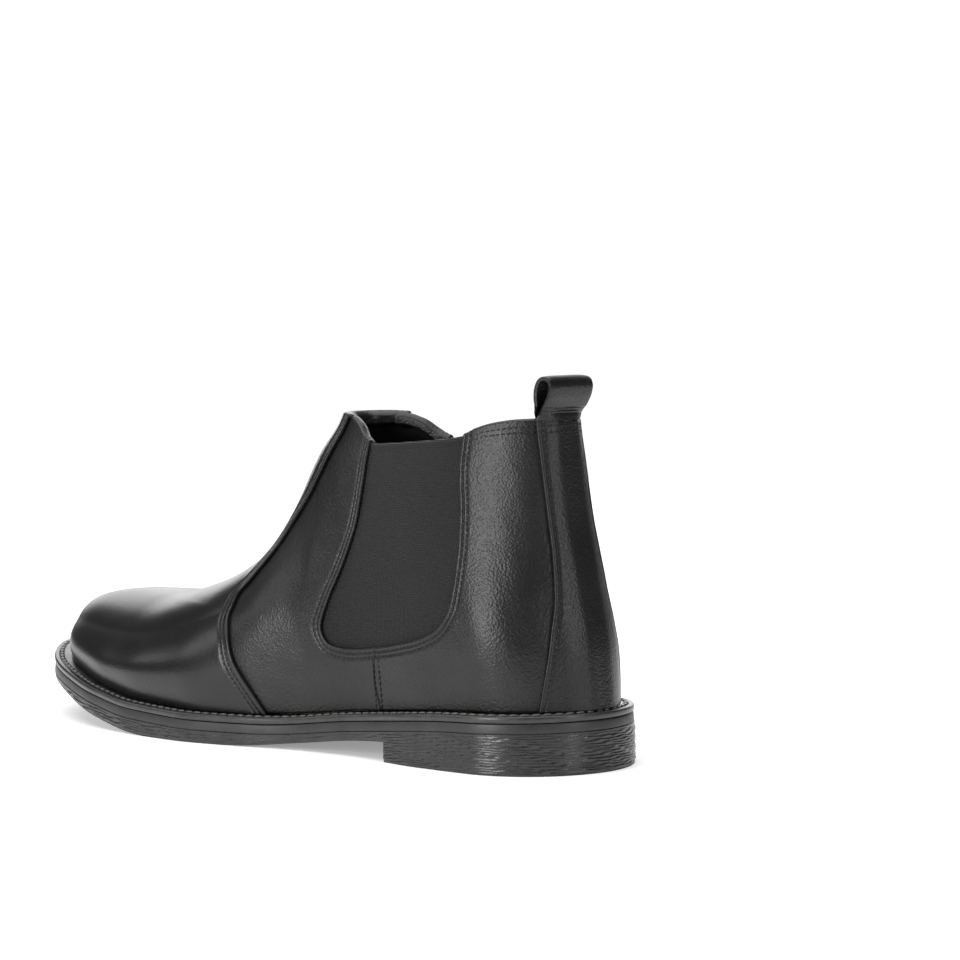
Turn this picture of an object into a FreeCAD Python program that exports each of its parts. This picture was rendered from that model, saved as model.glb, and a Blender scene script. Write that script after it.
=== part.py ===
import FreeCAD, Part
import math
import os

# Low chelsea boot for the wearer's left foot, built as its maker builds it: a sole unit with welt,
# midsole and heel core, the insole parts, the lining, the stiffeners, the outer leathers, two elastic
# gores and a leather pull tab. Millimetres. While building, x = 0 is the back of the heel, +X points
# to the toe, +Y to the outer (little toe) side, and z = 0 is the ground. The finished pieces are moved
# together so that the origin is under the middle of the whole boot.

# ---- sole plan: half widths over the welt, at stations along the boot ----
LENGTH = 300.0
HEEL_ROUND = 34.0
TOE_ROUND = 70.0
OUTER_HALF_WIDTHS = [(0, 33.8), (60, 37.6), (90, 35.2), (120, 37.2), (150, 44.6), (180, 50.0),
                     (205, 49.8), (230, 46.6), (255, 42.4), (275, 40.2), (300, 34.0)]
INNER_HALF_WIDTHS = [(0, 33.3), (60, 36.0), (90, 33.5), (120, 32.0), (150, 34.5), (180, 41.0),
                     (205, 47.0), (230, 48.5), (255, 47.1), (275, 45.7), (300, 42.7)]

# ---- sole side view: the seat is the top of the welt, where the upper stands ----
SEAT_HEIGHTS = [(0, 21.3), (40, 20.3), (96, 15.5), (140, 11.2), (165, 11.0), (205, 12.3),
                (235, 15.8), (272, 21.8), (300, 26.8)]
TREAD_HEIGHTS = [(77, 7.3), (96, 5.9), (123, 2.7), (150, 0.2), (165, -0.2), (192, -0.2), (218, 2.4),
                 (237, 5.7), (251, 8.8), (264, 12.0), (300, 19.5)]
HEEL_BREAST = 77.0
WELT_THICKNESS = 2.5
MIDSOLE_THICKNESS = 3.4
WELT_WIDTH = 12.0
GLUE_LINE = 0.2
GROOVE_INSET = 2.0
GROOVE_WIDTH = 1.5
GROOVE_DEPTH = 0.9
STITCH_PITCH = 4.0
STITCH_LENGTH = 3.0
STITCH_THICKNESS = 0.9
CORE_WALL = 9.0
CORE_FLOOR = 4.0
CORE_GAP = 0.25
RUNNER_INSET = 0.35
TREAD_GROOVE = 2.2
TREAD_GROOVE_DEPTH = 1.6
TREAD_GROOVE_RIM = 6.0
HEEL_GROOVES = (12.0, 66.0, 7)
BALL_GROOVES = (140.0, 248.0, 13)
OVERSIZE = 6.0
HALF_REACH = 70.0
PRISM_LOW = -5.0
PRISM_HEIGHT = 60.0

# ---- insole parts ----
BOARD_INSET = 11.6
BOARD_THICKNESS = 2.2
SOCK_INSET = 12.1
SOCK_THICKNESS = 2.6
SHANK_WIDTH = 13.0
SHANK_START = 34.0
SHANK_END = 142.0
SHANK_THICKNESS = 1.2
FILLER_START = 150.0
FILLER_END = 274.0
FILLER_GAP = 0.3

# ---- the upper's outer surface: side view profiles and shaft half widths ----
UPPER_INSET = 5.0
UPPER_TIP = 293.6
INSTEP_PROFILE = [(122.0, 138.6), (126.3, 124.8), (138.0, 109.4), (163.7, 71.8), (194.0, 57.6),
                  (224.0, 51.2), (254.0, 50.1), (274.2, 47.4), (286.3, 41.0), (293.6, 26.4)]
HEEL_PROFILE = [(14.8, 1.8), (39.9, 3.6), (65.0, 8.7), (92.1, 14.6), (123.2, 18.3), (145.2, 19.4)]
SHAFT_HALF_WIDTHS = [(16, 36.0), (56, 33.5), (75, 31.6), (92, 28.8), (108, 26.0), (122, 22.8), (145, 21.5)]
SHAFT_BLEND = (41.0, 97.0)
DOME_POWER = 2.8
SHAFT_POWER = 2.4
SIDE_BULGE = 0.09
ROUNDING = 0.2
INSTEP_SAMPLES = 240
COLLAR_LINE = [(16, 123.4), (27, 123.3), (38, 122.2), (45, 120.4), (50, 118.4), (72, 116.2), (96, 115.0),
               (101, 117.0), (108, 121.6), (116, 124.2), (126.3, 124.8)]
COLLAR_BACK = 123.2
COLLAR_FRONT = (126.3, 124.8)

# ---- pattern lines on the side view, as x at each height ----
VAMP_EDGE = [(10, 138.0), (20.5, 144.0), (31.5, 150.8), (41.5, 155.0), (50, 159.6), (55, 160.0), (63, 155.0),
             (72, 148.6), (82, 142.0), (95, 130.8), (109, 122.0), (120, 116.0), (130, 111.5)]
GORE_OUTLINE = [(98.0, 134.0), (97.7, 104.0), (98.8, 88.0), (104.0, 70.3), (111.2, 54.5), (113.8, 46.0),
                (109.8, 39.8), (100.5, 38.6), (86.2, 40.1), (73.9, 42.2), (60.8, 45.3), (51.0, 50.8),
                (46.6, 60.0), (46.0, 75.0), (47.4, 90.0), (49.6, 108.0), (49.8, 134.0)]
GORE_MARGIN = 6.0
GORE_SIDES = (36.0, 124.0)
GORE_LEVELS = (0.10, 0.995)
SIDE_SEAM = 86.5
BACKSTAY_HALF_WIDTHS = [(16, 22.0), (28, 20.6), (47, 17.2), (62, 13.8), (88, 11.7), (125, 11.4)]
SEAM_OVERLAP = 8.0
VAMP_LINING_EDGE = [(10, 125.0), (30, 125.0), (56, 121.5), (70, 114.0), (90, 106.0), (130, 105.5)]
HEEL_LINING_EDGE = [(10, 52.0), (40, 50.0), (56, 45.0), (90, 44.5), (108, 47.0), (130, 47.5)]
SIDE_LINING_FRONT = 130.0
SIDE_LINING_TOP = 0.20
COUNTER_EDGE = [(10, 58.0), (27, 50.0), (36, 36.5), (75, 33.0)]
COUNTER_TOP = 0.46
TOE_PUFF_EDGE = [(10, 238.0), (30, 236.0), (55, 230.0)]
TOE_PUFF_TOP = 0.27

# ---- leathers: outer and inner face, as depth under the upper's outer surface ----
TOP_LAYER = (0.0, -1.4)
QUARTER_LAYER = (-1.7, -2.8)
GORE_LAYER = (-3.2, -4.3)
STIFFENER_LAYER = (-3.4, -4.4)
TOE_PUFF_LAYER = (-1.7, -2.8)
VAMP_LINING_LAYER = (-3.4, -4.3)
BACK_LINING_LAYER = (-4.85, -5.75)
EDGE_GAP = 0.3
SEAM_GAP = 0.6

# ---- pull tab: a loop of folded leather over the back of the collar ----
TAB_HALF_WIDTH = 11.4
TAB_THICKNESS = 1.4
TAB_RISE = 15.0
TAB_START = 3.4
TAIL_START = 4.5
TAIL_LENGTH = 10.0
TAB_LEAN = 0.16
TAB_GAP = 0.25


def smooth_through(points):
    """Shape-preserving cubic through (place, value) points, level beyond both ends."""
    xs = [float(p[0]) for p in points]
    ys = [float(p[1]) for p in points]
    steps = [b - a for a, b in zip(xs, xs[1:])]
    rises = [(d - c) / h for c, d, h in zip(ys, ys[1:], steps)]
    slopes = [rises[0]]
    for h0, h1, r0, r1 in zip(steps, steps[1:], rises, rises[1:]):
        if r0 * r1 <= 0:
            slopes.append(0.0)
        else:
            w0 = 2 * h1 + h0
            w1 = h1 + 2 * h0
            slopes.append((w0 + w1) / (w0 / r0 + w1 / r1))
    slopes.append(rises[-1])

    def value(x):
        if x <= xs[0]:
            return ys[0]
        if x >= xs[-1]:
            return ys[-1]
        low = 0
        high = len(xs) - 1
        while high - low > 1:
            middle = (low + high) // 2
            if xs[middle] <= x:
                low = middle
            else:
                high = middle
        h = steps[low]
        t = (x - xs[low]) / h
        keep = (1 + 2 * t) * (1 - t) ** 2 * ys[low] + t * t * (3 - 2 * t) * ys[low + 1]
        turn = t * (1 - t) ** 2 * slopes[low] - t * t * (1 - t) * slopes[low + 1]
        return keep + h * turn

    return value


outer_half = smooth_through(OUTER_HALF_WIDTHS)
inner_half = smooth_through(INNER_HALF_WIDTHS)
seat = smooth_through(SEAT_HEIGHTS)
tread = smooth_through(TREAD_HEIGHTS)
instep_height = smooth_through(INSTEP_PROFILE)
heel_place = smooth_through(HEEL_PROFILE)
shaft_half = smooth_through(SHAFT_HALF_WIDTHS)
collar_height = smooth_through(COLLAR_LINE)
vamp_edge = smooth_through(VAMP_EDGE)
vamp_lining_edge = smooth_through(VAMP_LINING_EDGE)
heel_lining_edge = smooth_through(HEEL_LINING_EDGE)
counter_edge = smooth_through(COUNTER_EDGE)
toe_puff_edge = smooth_through(TOE_PUFF_EDGE)
backstay_half = smooth_through(BACKSTAY_HALF_WIDTHS)


def turned_over(line, start, end):
    """A line that only falls from start to end, as the place of each height."""
    places = [end + (start - end) * i / INSTEP_SAMPLES for i in range(INSTEP_SAMPLES + 1)]
    return smooth_through([(line(x), x) for x in places])


instep_place = turned_over(instep_height, INSTEP_PROFILE[0][0], INSTEP_PROFILE[-1][0])


# ------------------------------------------------------------------ the upper's shape

def round_end(fraction):
    """Quarter circle rise from 0 to 1."""
    u = min(max(fraction, 0.0), 1.0)
    return math.sqrt(max(1.0 - (1.0 - u) ** 2, 0.0))


def plan_half(x, side):
    """Half width of the sole over the welt; side is +1 outer, -1 inner."""
    half = outer_half(x) if side > 0 else inner_half(x)
    return half * round_end(x / HEEL_ROUND) * round_end((LENGTH - x) / TOE_ROUND)


def upper_half(x, z, side):
    """Half width of the upper at a point of its side view."""
    back = heel_place(z)
    front = instep_place(z)
    ridge = instep_height(x)
    floor = seat(x)
    rise = min(max((z - floor) / max(ridge - floor, 0.001), 0.0), 1.0)
    along = min(max((x - back) / (UPPER_TIP - back), 0.0), 1.0) * LENGTH
    plan = plan_half(along, side)
    plan -= UPPER_INSET * min(plan / 20.0, 1.0)
    bulge = 1.0 + SIDE_BULGE * math.sin(math.pi * min(rise * 1.6, 1.0))
    foot = plan * bulge * math.sqrt(max(1.0 - rise ** DOME_POWER, 0.0))
    across = min(max((x - back) / max(front - back, 1.0), 0.0), 1.0)
    shaft = shaft_half(z) * max(1.0 - abs(2.0 * across - 1.0) ** SHAFT_POWER, 0.0) ** (1.0 / SHAFT_POWER)
    low, high = SHAFT_BLEND
    mix = min(max((z - low) / (high - low), 0.0), 1.0)
    mix = mix * mix * (3.0 - 2.0 * mix)
    return (1.0 - mix) * foot + mix * shaft


def instep_walk():
    """Front centre line as a table of length walked from the collar, x and z."""
    steps = 300
    start = COLLAR_FRONT[0]
    table = [(0.0, start, instep_height(start))]
    for i in range(1, steps + 1):
        x = start + (UPPER_TIP - start) * i / steps
        z = instep_height(x)
        walked = table[-1][0] + math.hypot(x - table[-1][1], z - table[-1][2])
        table.append((walked, x, z))
    return table


INSTEP_TABLE = instep_walk()
instep_x_at = smooth_through([(t[0], t[1]) for t in INSTEP_TABLE])
instep_z_at = smooth_through([(t[0], t[2]) for t in INSTEP_TABLE])
INSTEP_LENGTH = INSTEP_TABLE[-1][0]


def ring(level):
    """Ends of the ring at a level, 0 at the seat and 1 at the collar: heel x, z and front x, z."""
    heel_z = seat(0) + (COLLAR_BACK - seat(0)) * level
    walked = (1.0 - level) * INSTEP_LENGTH
    return heel_place(heel_z), heel_z, instep_x_at(walked), instep_z_at(walked)


def ring_height(share, level, ends):
    """Height of a ring at a share of its way from heel to front."""
    back_x, back_z, front_x, front_z = ends
    chord = back_z + share * (front_z - back_z)
    low_x = heel_place(seat(0)) + share * (UPPER_TIP - heel_place(seat(0)))
    low_chord = seat(0) + share * (seat(UPPER_TIP) - seat(0))
    top_x = heel_place(COLLAR_BACK) + share * (COLLAR_FRONT[0] - heel_place(COLLAR_BACK))
    top_chord = COLLAR_BACK + share * (COLLAR_FRONT[1] - COLLAR_BACK)
    low_dip = (seat(low_x) - low_chord) * (1.0 - level) ** 2
    top_dip = (collar_height(top_x) - top_chord) * level ** 6
    return chord + low_dip + top_dip


def skin(turn, level):
    """Point of the outer surface. turn 0 is the heel centre, pi the front centre, +pi/2 the outer side."""
    share = (1.0 - math.cos(turn)) / 2.0
    ends = ring(level)
    x = ends[0] + share * (ends[2] - ends[0])
    z = ring_height(share, level, ends)
    side = 1.0 if math.sin(turn) >= 0 else -1.0
    return FreeCAD.Vector(x, side * upper_half(x, z, side) + ROUNDING * math.sin(turn), z)


def outward(turn, level):
    """Unit normal of the outer surface, pointing away from the foot."""
    dt = 0.02
    dl = 0.006
    low = max(level - dl, 0.0)
    high = min(level + dl, 1.0)
    around = skin(turn + dt, level) - skin(turn - dt, level)
    up = skin(turn, high) - skin(turn, low)
    normal = up.cross(around)
    return normal.normalize()


def turn_on_line(line, level):
    """Turn at which a ring meets a pattern line given as x at each height."""
    ends = ring(level)
    low = 0.0
    high = 1.0
    for _ in range(30):
        share = (low + high) / 2.0
        x = ends[0] + share * (ends[2] - ends[0])
        if x < line(ring_height(share, level, ends)):
            low = share
        else:
            high = share
    return math.acos(1.0 - 2.0 * (low + high) / 2.0)


def turn_at_half_width(half, level):
    """Turn, near the heel centre, at which the surface is this far from the middle plane."""
    low = 0.0
    high = 1.2
    for _ in range(30):
        turn = (low + high) / 2.0
        if skin(turn, level).y < half:
            low = turn
        else:
            high = turn
    return (low + high) / 2.0


# ------------------------------------------------------------------ solids from the shape

def surface_through(rows):
    surface = Part.BSplineSurface()
    surface.interpolate(rows)
    return surface


def solid_between(outer_rows, inner_rows):
    """Closed leather piece between two matching nets of points."""
    outer = surface_through(outer_rows)
    inner = surface_through(inner_rows)
    faces = [outer.toShape(), inner.toShape()]
    u0, u1, v0, v1 = outer.bounds()
    p0, p1, q0, q1 = inner.bounds()
    pairs = [(outer.uIso(u0), inner.uIso(p0)), (outer.uIso(u1), inner.uIso(p1)),
             (outer.vIso(v0), inner.vIso(q0)), (outer.vIso(v1), inner.vIso(q1))]
    for a, b in pairs:
        faces.append(Part.makeRuledSurface(a.toShape(), b.toShape()))
    shell = Part.Shell(faces)
    shell.sewShape()
    solid = Part.Solid(shell)
    if solid.Volume < 0:
        solid.reverse()
    return solid


def leather(places, layer):
    """Leather piece from a net of (turn, level) places, between the two depths of its layer."""
    outer_rows = []
    inner_rows = []
    for row in places:
        outer_row = []
        inner_row = []
        for turn, level in row:
            point = skin(turn, level)
            normal = outward(turn, level)
            outer_row.append(point + normal * layer[0])
            inner_row.append(point + normal * layer[1])
        outer_rows.append(outer_row)
        inner_rows.append(inner_row)
    return solid_between(outer_rows, inner_rows)


def spread(start, end, count):
    return [start + (end - start) * i / (count - 1) for i in range(count)]


def wrap(start_turn, end_turn, levels, columns):
    """Net for a piece that wraps round the boot; its two edges are turns given at each level."""
    net = []
    for level in levels:
        net.append([(turn, level) for turn in spread(start_turn(level), end_turn(level), columns)])
    return net


def front_net(line, levels, columns):
    """Net over the front of the boot, from a pattern line on the outer side to the same line on the inner."""
    return wrap(lambda v: turn_on_line(line, v), lambda v: 2 * math.pi - turn_on_line(line, v), levels, columns)


def heel_net(line, levels, columns):
    """Net round the heel, from a pattern line on the inner side to the same line on the outer."""
    return wrap(lambda v: -turn_on_line(line, v), lambda v: turn_on_line(line, v), levels, columns)


def levels_between(start, end, count, crowding=1.0):
    """Levels from start to end, crowded towards start when crowding is over 1."""
    return [start + (end - start) * (i / (count - 1)) ** crowding for i in range(count)]


# ------------------------------------------------------------------ sole unit

def plan_points(inset, start=0.0, end=LENGTH, count=46):
    """Closed run of points of the sole outline, moved inwards, outer side first."""
    loop = []
    for i in range(count):
        share = (1.0 - math.cos(math.pi * i / count)) / 2.0
        loop.append((LENGTH * share, plan_half(LENGTH * share, 1)))
    for i in range(count):
        share = (1.0 + math.cos(math.pi * i / count)) / 2.0
        loop.append((LENGTH * share, -plan_half(LENGTH * share, -1)))
    moved = []
    for i, (x, y) in enumerate(loop):
        ahead = loop[(i + 1) % len(loop)]
        behind = loop[i - 1]
        dx = ahead[0] - behind[0]
        dy = ahead[1] - behind[1]
        size = math.hypot(dx, dy)
        moved.append((x + inset * dy / size, y - inset * dx / size))
    return moved


def plan_prism(inset):
    """Upright prism over the sole outline, moved inwards by inset."""
    curve = Part.BSplineCurve()
    curve.interpolate([FreeCAD.Vector(x, y, PRISM_LOW) for x, y in plan_points(inset)], PeriodicFlag=True)
    wire = Part.Wire(curve.toShape())
    return Part.Face(wire).extrude(FreeCAD.Vector(0, 0, PRISM_HEIGHT))


def profile_edge(places, height, y):
    curve = Part.BSplineCurve()
    curve.interpolate([FreeCAD.Vector(x, y, height(x)) for x in places])
    return curve.toShape()


def slab(start, end, bottom, top):
    """Block between two heights that follow the boot's side view, wide enough for the whole sole."""
    y = -HALF_REACH
    count = max(int((end - start) / 12.0), 3)
    places = spread(start, end, count)
    under = profile_edge(places, bottom, y)
    over = profile_edge(places, top, y)
    back = Part.LineSegment(FreeCAD.Vector(start, y, bottom(start)), FreeCAD.Vector(start, y, top(start)))
    front = Part.LineSegment(FreeCAD.Vector(end, y, bottom(end)), FreeCAD.Vector(end, y, top(end)))
    wire = Part.Wire(Part.__sortEdges__([under, over, back.toShape(), front.toShape()]))
    return Part.Face(wire).extrude(FreeCAD.Vector(0, 2 * HALF_REACH, 0))


def below_seat(drop):
    return lambda x: seat(x) - drop


def sole_top(x):
    return seat(x) - WELT_THICKNESS - MIDSOLE_THICKNESS - 2 * GLUE_LINE


def under_ground(x):
    return -OVERSIZE


def make_welt():
    """Flat strip round the foot that the upper stands on, with a channel for its seam."""
    ring_solid = plan_prism(0.0).cut(plan_prism(WELT_WIDTH))
    strip = ring_solid.common(slab(-OVERSIZE, LENGTH + OVERSIZE, below_seat(WELT_THICKNESS), seat))
    channel = plan_prism(GROOVE_INSET).cut(plan_prism(GROOVE_INSET + GROOVE_WIDTH))
    top = slab(-OVERSIZE, LENGTH + OVERSIZE, below_seat(GROOVE_DEPTH), below_seat(-4.0))
    return strip.cut(channel.common(top))


def make_welt_stitching():
    """Thick waxed thread: one short bead for each visible stitch, lying in the welt's channel."""
    loop = plan_points(GROOVE_INSET + GROOVE_WIDTH / 2.0, count=120)
    curve = Part.BSplineCurve()
    curve.interpolate([FreeCAD.Vector(x, y, 0) for x, y in loop], PeriodicFlag=True)
    total = curve.length()
    count = int(total / STITCH_PITCH)
    beads = []
    for i in range(count):
        place = curve.parameterAtDistance(total * i / count, curve.FirstParameter)
        point = curve.value(place)
        along = curve.tangent(place)[0]
        slope = (seat(point.x + 1.0) - seat(point.x - 1.0)) / 2.0 * along.x
        start = FreeCAD.Vector(0, 0, -STITCH_LENGTH / 2.0)
        bead = Part.makeCylinder(STITCH_THICKNESS / 2.0, STITCH_LENGTH, start)
        turn = FreeCAD.Rotation(FreeCAD.Vector(0, 0, 1), FreeCAD.Vector(along.x, along.y, slope))
        height = seat(point.x) - GROOVE_DEPTH + STITCH_THICKNESS / 2.0 + 0.15
        bead.Placement = FreeCAD.Placement(FreeCAD.Vector(point.x, point.y, height), turn)
        beads.append(bead)
    return Part.makeCompound(beads)


def make_midsole():
    """Smooth rubber runner between welt and outsole, the full outline of the boot."""
    top = WELT_THICKNESS + GLUE_LINE
    body = slab(-OVERSIZE, LENGTH + OVERSIZE, below_seat(top + MIDSOLE_THICKNESS), below_seat(top))
    return plan_prism(RUNNER_INSET).common(body)


def core_slab():
    return slab(-OVERSIZE, HEEL_BREAST - CORE_WALL, lambda x: CORE_FLOOR, lambda x: sole_top(x) + 1.0)


def make_outsole():
    """Moulded rubber outsole with its heel, hollow in the heel for the core, cross-grooved underneath."""
    forepart = slab(HEEL_BREAST, LENGTH + OVERSIZE, tread, sole_top)
    heel = slab(-OVERSIZE, HEEL_BREAST, under_ground, sole_top)
    body = plan_prism(0.0).common(forepart.fuse(heel))
    corner = FreeCAD.Vector(-OVERSIZE, -HALF_REACH, -2 * OVERSIZE)
    under = Part.makeBox(LENGTH + 2 * OVERSIZE, 2 * HALF_REACH, 2 * OVERSIZE, corner)
    body = body.cut(under).cut(plan_prism(CORE_WALL).common(core_slab()))
    return body.cut(make_tread_grooves())


def make_tread_grooves():
    """Cross channels of the tread, under the ball of the foot and under the heel."""
    channels = []
    for x in spread(*HEEL_GROOVES) + spread(*BALL_GROOVES):
        under = 0.0 if x < HEEL_BREAST else max(tread(x), 0.0)
        corner = FreeCAD.Vector(x, -HALF_REACH, under - OVERSIZE)
        channels.append(Part.makeBox(TREAD_GROOVE, 2 * HALF_REACH, TREAD_GROOVE_DEPTH + OVERSIZE, corner))
    return Part.makeCompound(channels).common(plan_prism(TREAD_GROOVE_RIM))


def make_heel_core():
    """Light foamed block that fills the moulded heel."""
    inside = slab(-OVERSIZE, HEEL_BREAST - CORE_WALL - CORE_GAP, lambda x: CORE_FLOOR + CORE_GAP, sole_top)
    return plan_prism(CORE_WALL + CORE_GAP).common(inside)


def make_shank():
    """Sprung steel strip under the waist, from the heel seat to behind the ball."""
    bottom = below_seat(WELT_THICKNESS - GLUE_LINE)
    strip = slab(SHANK_START, SHANK_END, bottom, lambda x: bottom(x) + SHANK_THICKNESS)
    band = Part.makeBox(LENGTH, SHANK_WIDTH, PRISM_HEIGHT, FreeCAD.Vector(0, -SHANK_WIDTH / 2.0, PRISM_LOW))
    return strip.common(band)


def make_filler():
    """Cork filler that levels the forepart inside the ring of the welt."""
    body = slab(FILLER_START, FILLER_END, below_seat(WELT_THICKNESS - GLUE_LINE), below_seat(GLUE_LINE / 2.0))
    return plan_prism(WELT_WIDTH + FILLER_GAP).common(body)


def make_insole_board():
    bottom = below_seat(-GLUE_LINE)
    return plan_prism(BOARD_INSET).common(slab(0, LENGTH, bottom, below_seat(-GLUE_LINE - BOARD_THICKNESS)))


def make_sock_liner():
    """Padded leather sock that the foot stands on, over the insole board."""
    low = 2 * GLUE_LINE + BOARD_THICKNESS
    return plan_prism(SOCK_INSET).common(slab(0, LENGTH, below_seat(-low), below_seat(-low - SOCK_THICKNESS)))


# ------------------------------------------------------------------ upper

def make_vamp():
    """Front leather: toe, instep and the narrow strip up to the collar, in one piece."""
    levels = levels_between(0.0015, 0.998, 40, 1.25)
    return leather(front_net(vamp_edge, levels, 61), TOP_LAYER)


def make_backstay():
    """Strip that covers the heel seam, wide at the sole and narrow at the collar."""
    def edge(level):
        return turn_at_half_width(backstay_half(ring(level)[1]), level)
    return leather(wrap(lambda v: -edge(v), edge, levels_between(0.002, 0.998, 26), 13), TOP_LAYER)


def side_prism(points, side):
    """Prism across one side of the boot over a run of side view points, closed along the top."""
    curve = Part.BSplineCurve()
    start = 0.5 * side
    curve.interpolate([FreeCAD.Vector(x, start, z) for x, z in points])
    closing = Part.LineSegment(curve.EndPoint, curve.StartPoint)
    wire = Part.Wire([curve.toShape(), closing.toShape()])
    return Part.Face(wire).extrude(FreeCAD.Vector(0, side * 80.0, 0))


def grown(points, margin):
    """Run of points moved outwards from the run's inside."""
    moved = []
    for i, (x, z) in enumerate(points):
        ahead = points[min(i + 1, len(points) - 1)]
        behind = points[max(i - 1, 0)]
        dx = ahead[0] - behind[0]
        dz = ahead[1] - behind[1]
        size = math.hypot(dx, dz)
        moved.append((x - margin * dz / size, z + margin * dx / size))
    return moved


def beyond(x, front):
    """Half space block in front of, or behind, a cross plane."""
    start = x if front else x - 400.0
    return Part.makeBox(400.0, 200.0, 300.0, FreeCAD.Vector(start, -100.0, -50.0))


def quarter_sheet(side):
    """Whole side leather, from the heel seam to under the vamp, before the gore is cut out."""
    seam = SEAM_GAP / 2.0
    under_vamp = smooth_through([(z, x + SEAM_OVERLAP) for z, x in VAMP_EDGE])
    net = wrap(lambda v: side * turn_at_half_width(seam, v), lambda v: side * turn_on_line(under_vamp, v),
               levels_between(0.002, 0.995, 30), 45)
    return leather(net, QUARTER_LAYER)


def make_quarters(side):
    """Front and back leathers of one side, parted by the gore and by the short side seam under it."""
    sheet = quarter_sheet(side).cut(side_prism(GORE_OUTLINE, side))
    front = sheet.common(beyond(SIDE_SEAM + EDGE_GAP / 2.0, True))
    back = sheet.common(beyond(SIDE_SEAM - EDGE_GAP / 2.0, False))
    return front, back


def make_gore(side):
    """Elastic web, sewn under the edges of the two quarters all round its opening."""
    def behind(level):
        return side * turn_on_line(lambda z: GORE_SIDES[0], level)

    def ahead(level):
        return side * turn_on_line(lambda z: GORE_SIDES[1], level)

    net = wrap(behind, ahead, levels_between(GORE_LEVELS[0], GORE_LEVELS[1], 22), 13)
    return leather(net, GORE_LAYER).common(side_prism(grown(GORE_OUTLINE, GORE_MARGIN), side))


def make_toe_puff():
    """Stiff moulded cap under the vamp that keeps the toe's shape."""
    return leather(front_net(toe_puff_edge, levels_between(0.004, TOE_PUFF_TOP, 18, 1.2), 25), TOE_PUFF_LAYER)


def make_heel_counter():
    """Stiff cup between quarter and lining that holds the heel."""
    return leather(heel_net(counter_edge, levels_between(0.004, COUNTER_TOP, 14), 21), STIFFENER_LAYER)


def make_vamp_lining():
    """Lining of toe, instep and shaft front, in front of both gores."""
    return leather(front_net(vamp_lining_edge, levels_between(0.003, 0.994, 36, 1.25), 61), VAMP_LINING_LAYER)


def make_heel_lining():
    """Lining of the heel and the shaft back, behind both gores."""
    return leather(heel_net(heel_lining_edge, levels_between(0.003, 0.994, 26), 25), BACK_LINING_LAYER)


def make_side_lining(side):
    """Low lining strip under one gore, joining heel lining and vamp lining."""
    behind = smooth_through([(z, x + 2 * EDGE_GAP) for z, x in HEEL_LINING_EDGE])

    def ahead(level):
        return side * turn_on_line(lambda z: SIDE_LINING_FRONT, level)

    levels = levels_between(0.003, SIDE_LINING_TOP, 8)
    return leather(wrap(lambda v: side * turn_on_line(behind, v), ahead, levels, 15), BACK_LINING_LAYER)


# ------------------------------------------------------------------ pull tab

def tab_columns():
    edge = turn_at_half_width(TAB_HALF_WIDTH, 1.0)
    return spread(-edge, edge, 11)


def tab_net(path):
    """Net over the collar back: each path point is a depth from the outer surface and a height."""
    rows = []
    for depth, height in path:
        row = []
        for turn in tab_columns():
            point = skin(turn, 1.0)
            normal = outward(turn, 1.0)
            flat = FreeCAD.Vector(normal.x, normal.y, 0).normalize()
            lean = FreeCAD.Vector(-TAB_LEAN * max(height, 0.0), 0, height)
            row.append(point + flat * depth + lean)
        rows.append(row)
    return rows


def loop_path(offset):
    """Side view of the loop: up outside the collar, over in a half circle, down inside it."""
    outside = TOP_LAYER[0] - TAB_THICKNESS / 2.0
    inside = BACK_LINING_LAYER[1] - TAB_GAP - TAB_THICKNESS / 2.0
    middle = (outside + inside) / 2.0
    radius = (outside - inside) / 2.0
    crown = TAB_RISE - radius
    reach = radius + offset
    path = [(middle + reach, h) for h in spread(TAB_START, crown, 6)]
    for i in range(1, 10):
        angle = math.pi * i / 10
        path.append((middle + reach * math.cos(angle), crown + reach * math.sin(angle)))
    path += [(middle - reach, h) for h in spread(crown, TAB_START, 6)]
    return path


def make_pull_tab():
    """Loop of folded leather strip that stands above the collar."""
    half = TAB_THICKNESS / 2.0
    return solid_between(tab_net(loop_path(half)), tab_net(loop_path(-half)))


def make_pull_tab_tail():
    """End of the tab's strip, sewn down inside the collar."""
    near = BACK_LINING_LAYER[1] - TAB_GAP
    far = near - TAB_THICKNESS
    heights = spread(-TAIL_START, -TAIL_START - TAIL_LENGTH, 5)
    return solid_between(tab_net([(near, h) for h in heights]), tab_net([(far, h) for h in heights]))


# ------------------------------------------------------------------ the boot

def make_pieces():
    quarter_front_outer, quarter_back_outer = make_quarters(1)
    quarter_front_inner, quarter_back_inner = make_quarters(-1)
    return {
        "outsole": make_outsole(),
        "heel_core": make_heel_core(),
        "midsole": make_midsole(),
        "welt": make_welt(),
        "welt_stitching": make_welt_stitching(),
        "shank": make_shank(),
        "cork_filler": make_filler(),
        "insole_board": make_insole_board(),
        "sock_liner": make_sock_liner(),
        "toe_puff": make_toe_puff(),
        "heel_counter": make_heel_counter(),
        "vamp_lining": make_vamp_lining(),
        "heel_lining": make_heel_lining(),
        "side_lining_outer": make_side_lining(1),
        "side_lining_inner": make_side_lining(-1),
        "gore_outer": make_gore(1),
        "gore_inner": make_gore(-1),
        "quarter_front_outer": quarter_front_outer,
        "quarter_front_inner": quarter_front_inner,
        "quarter_back_outer": quarter_back_outer,
        "quarter_back_inner": quarter_back_inner,
        "vamp": make_vamp(),
        "backstay": make_backstay(),
        "pull_tab_tail": make_pull_tab_tail(),
        "pull_tab": make_pull_tab(),
    }


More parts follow.
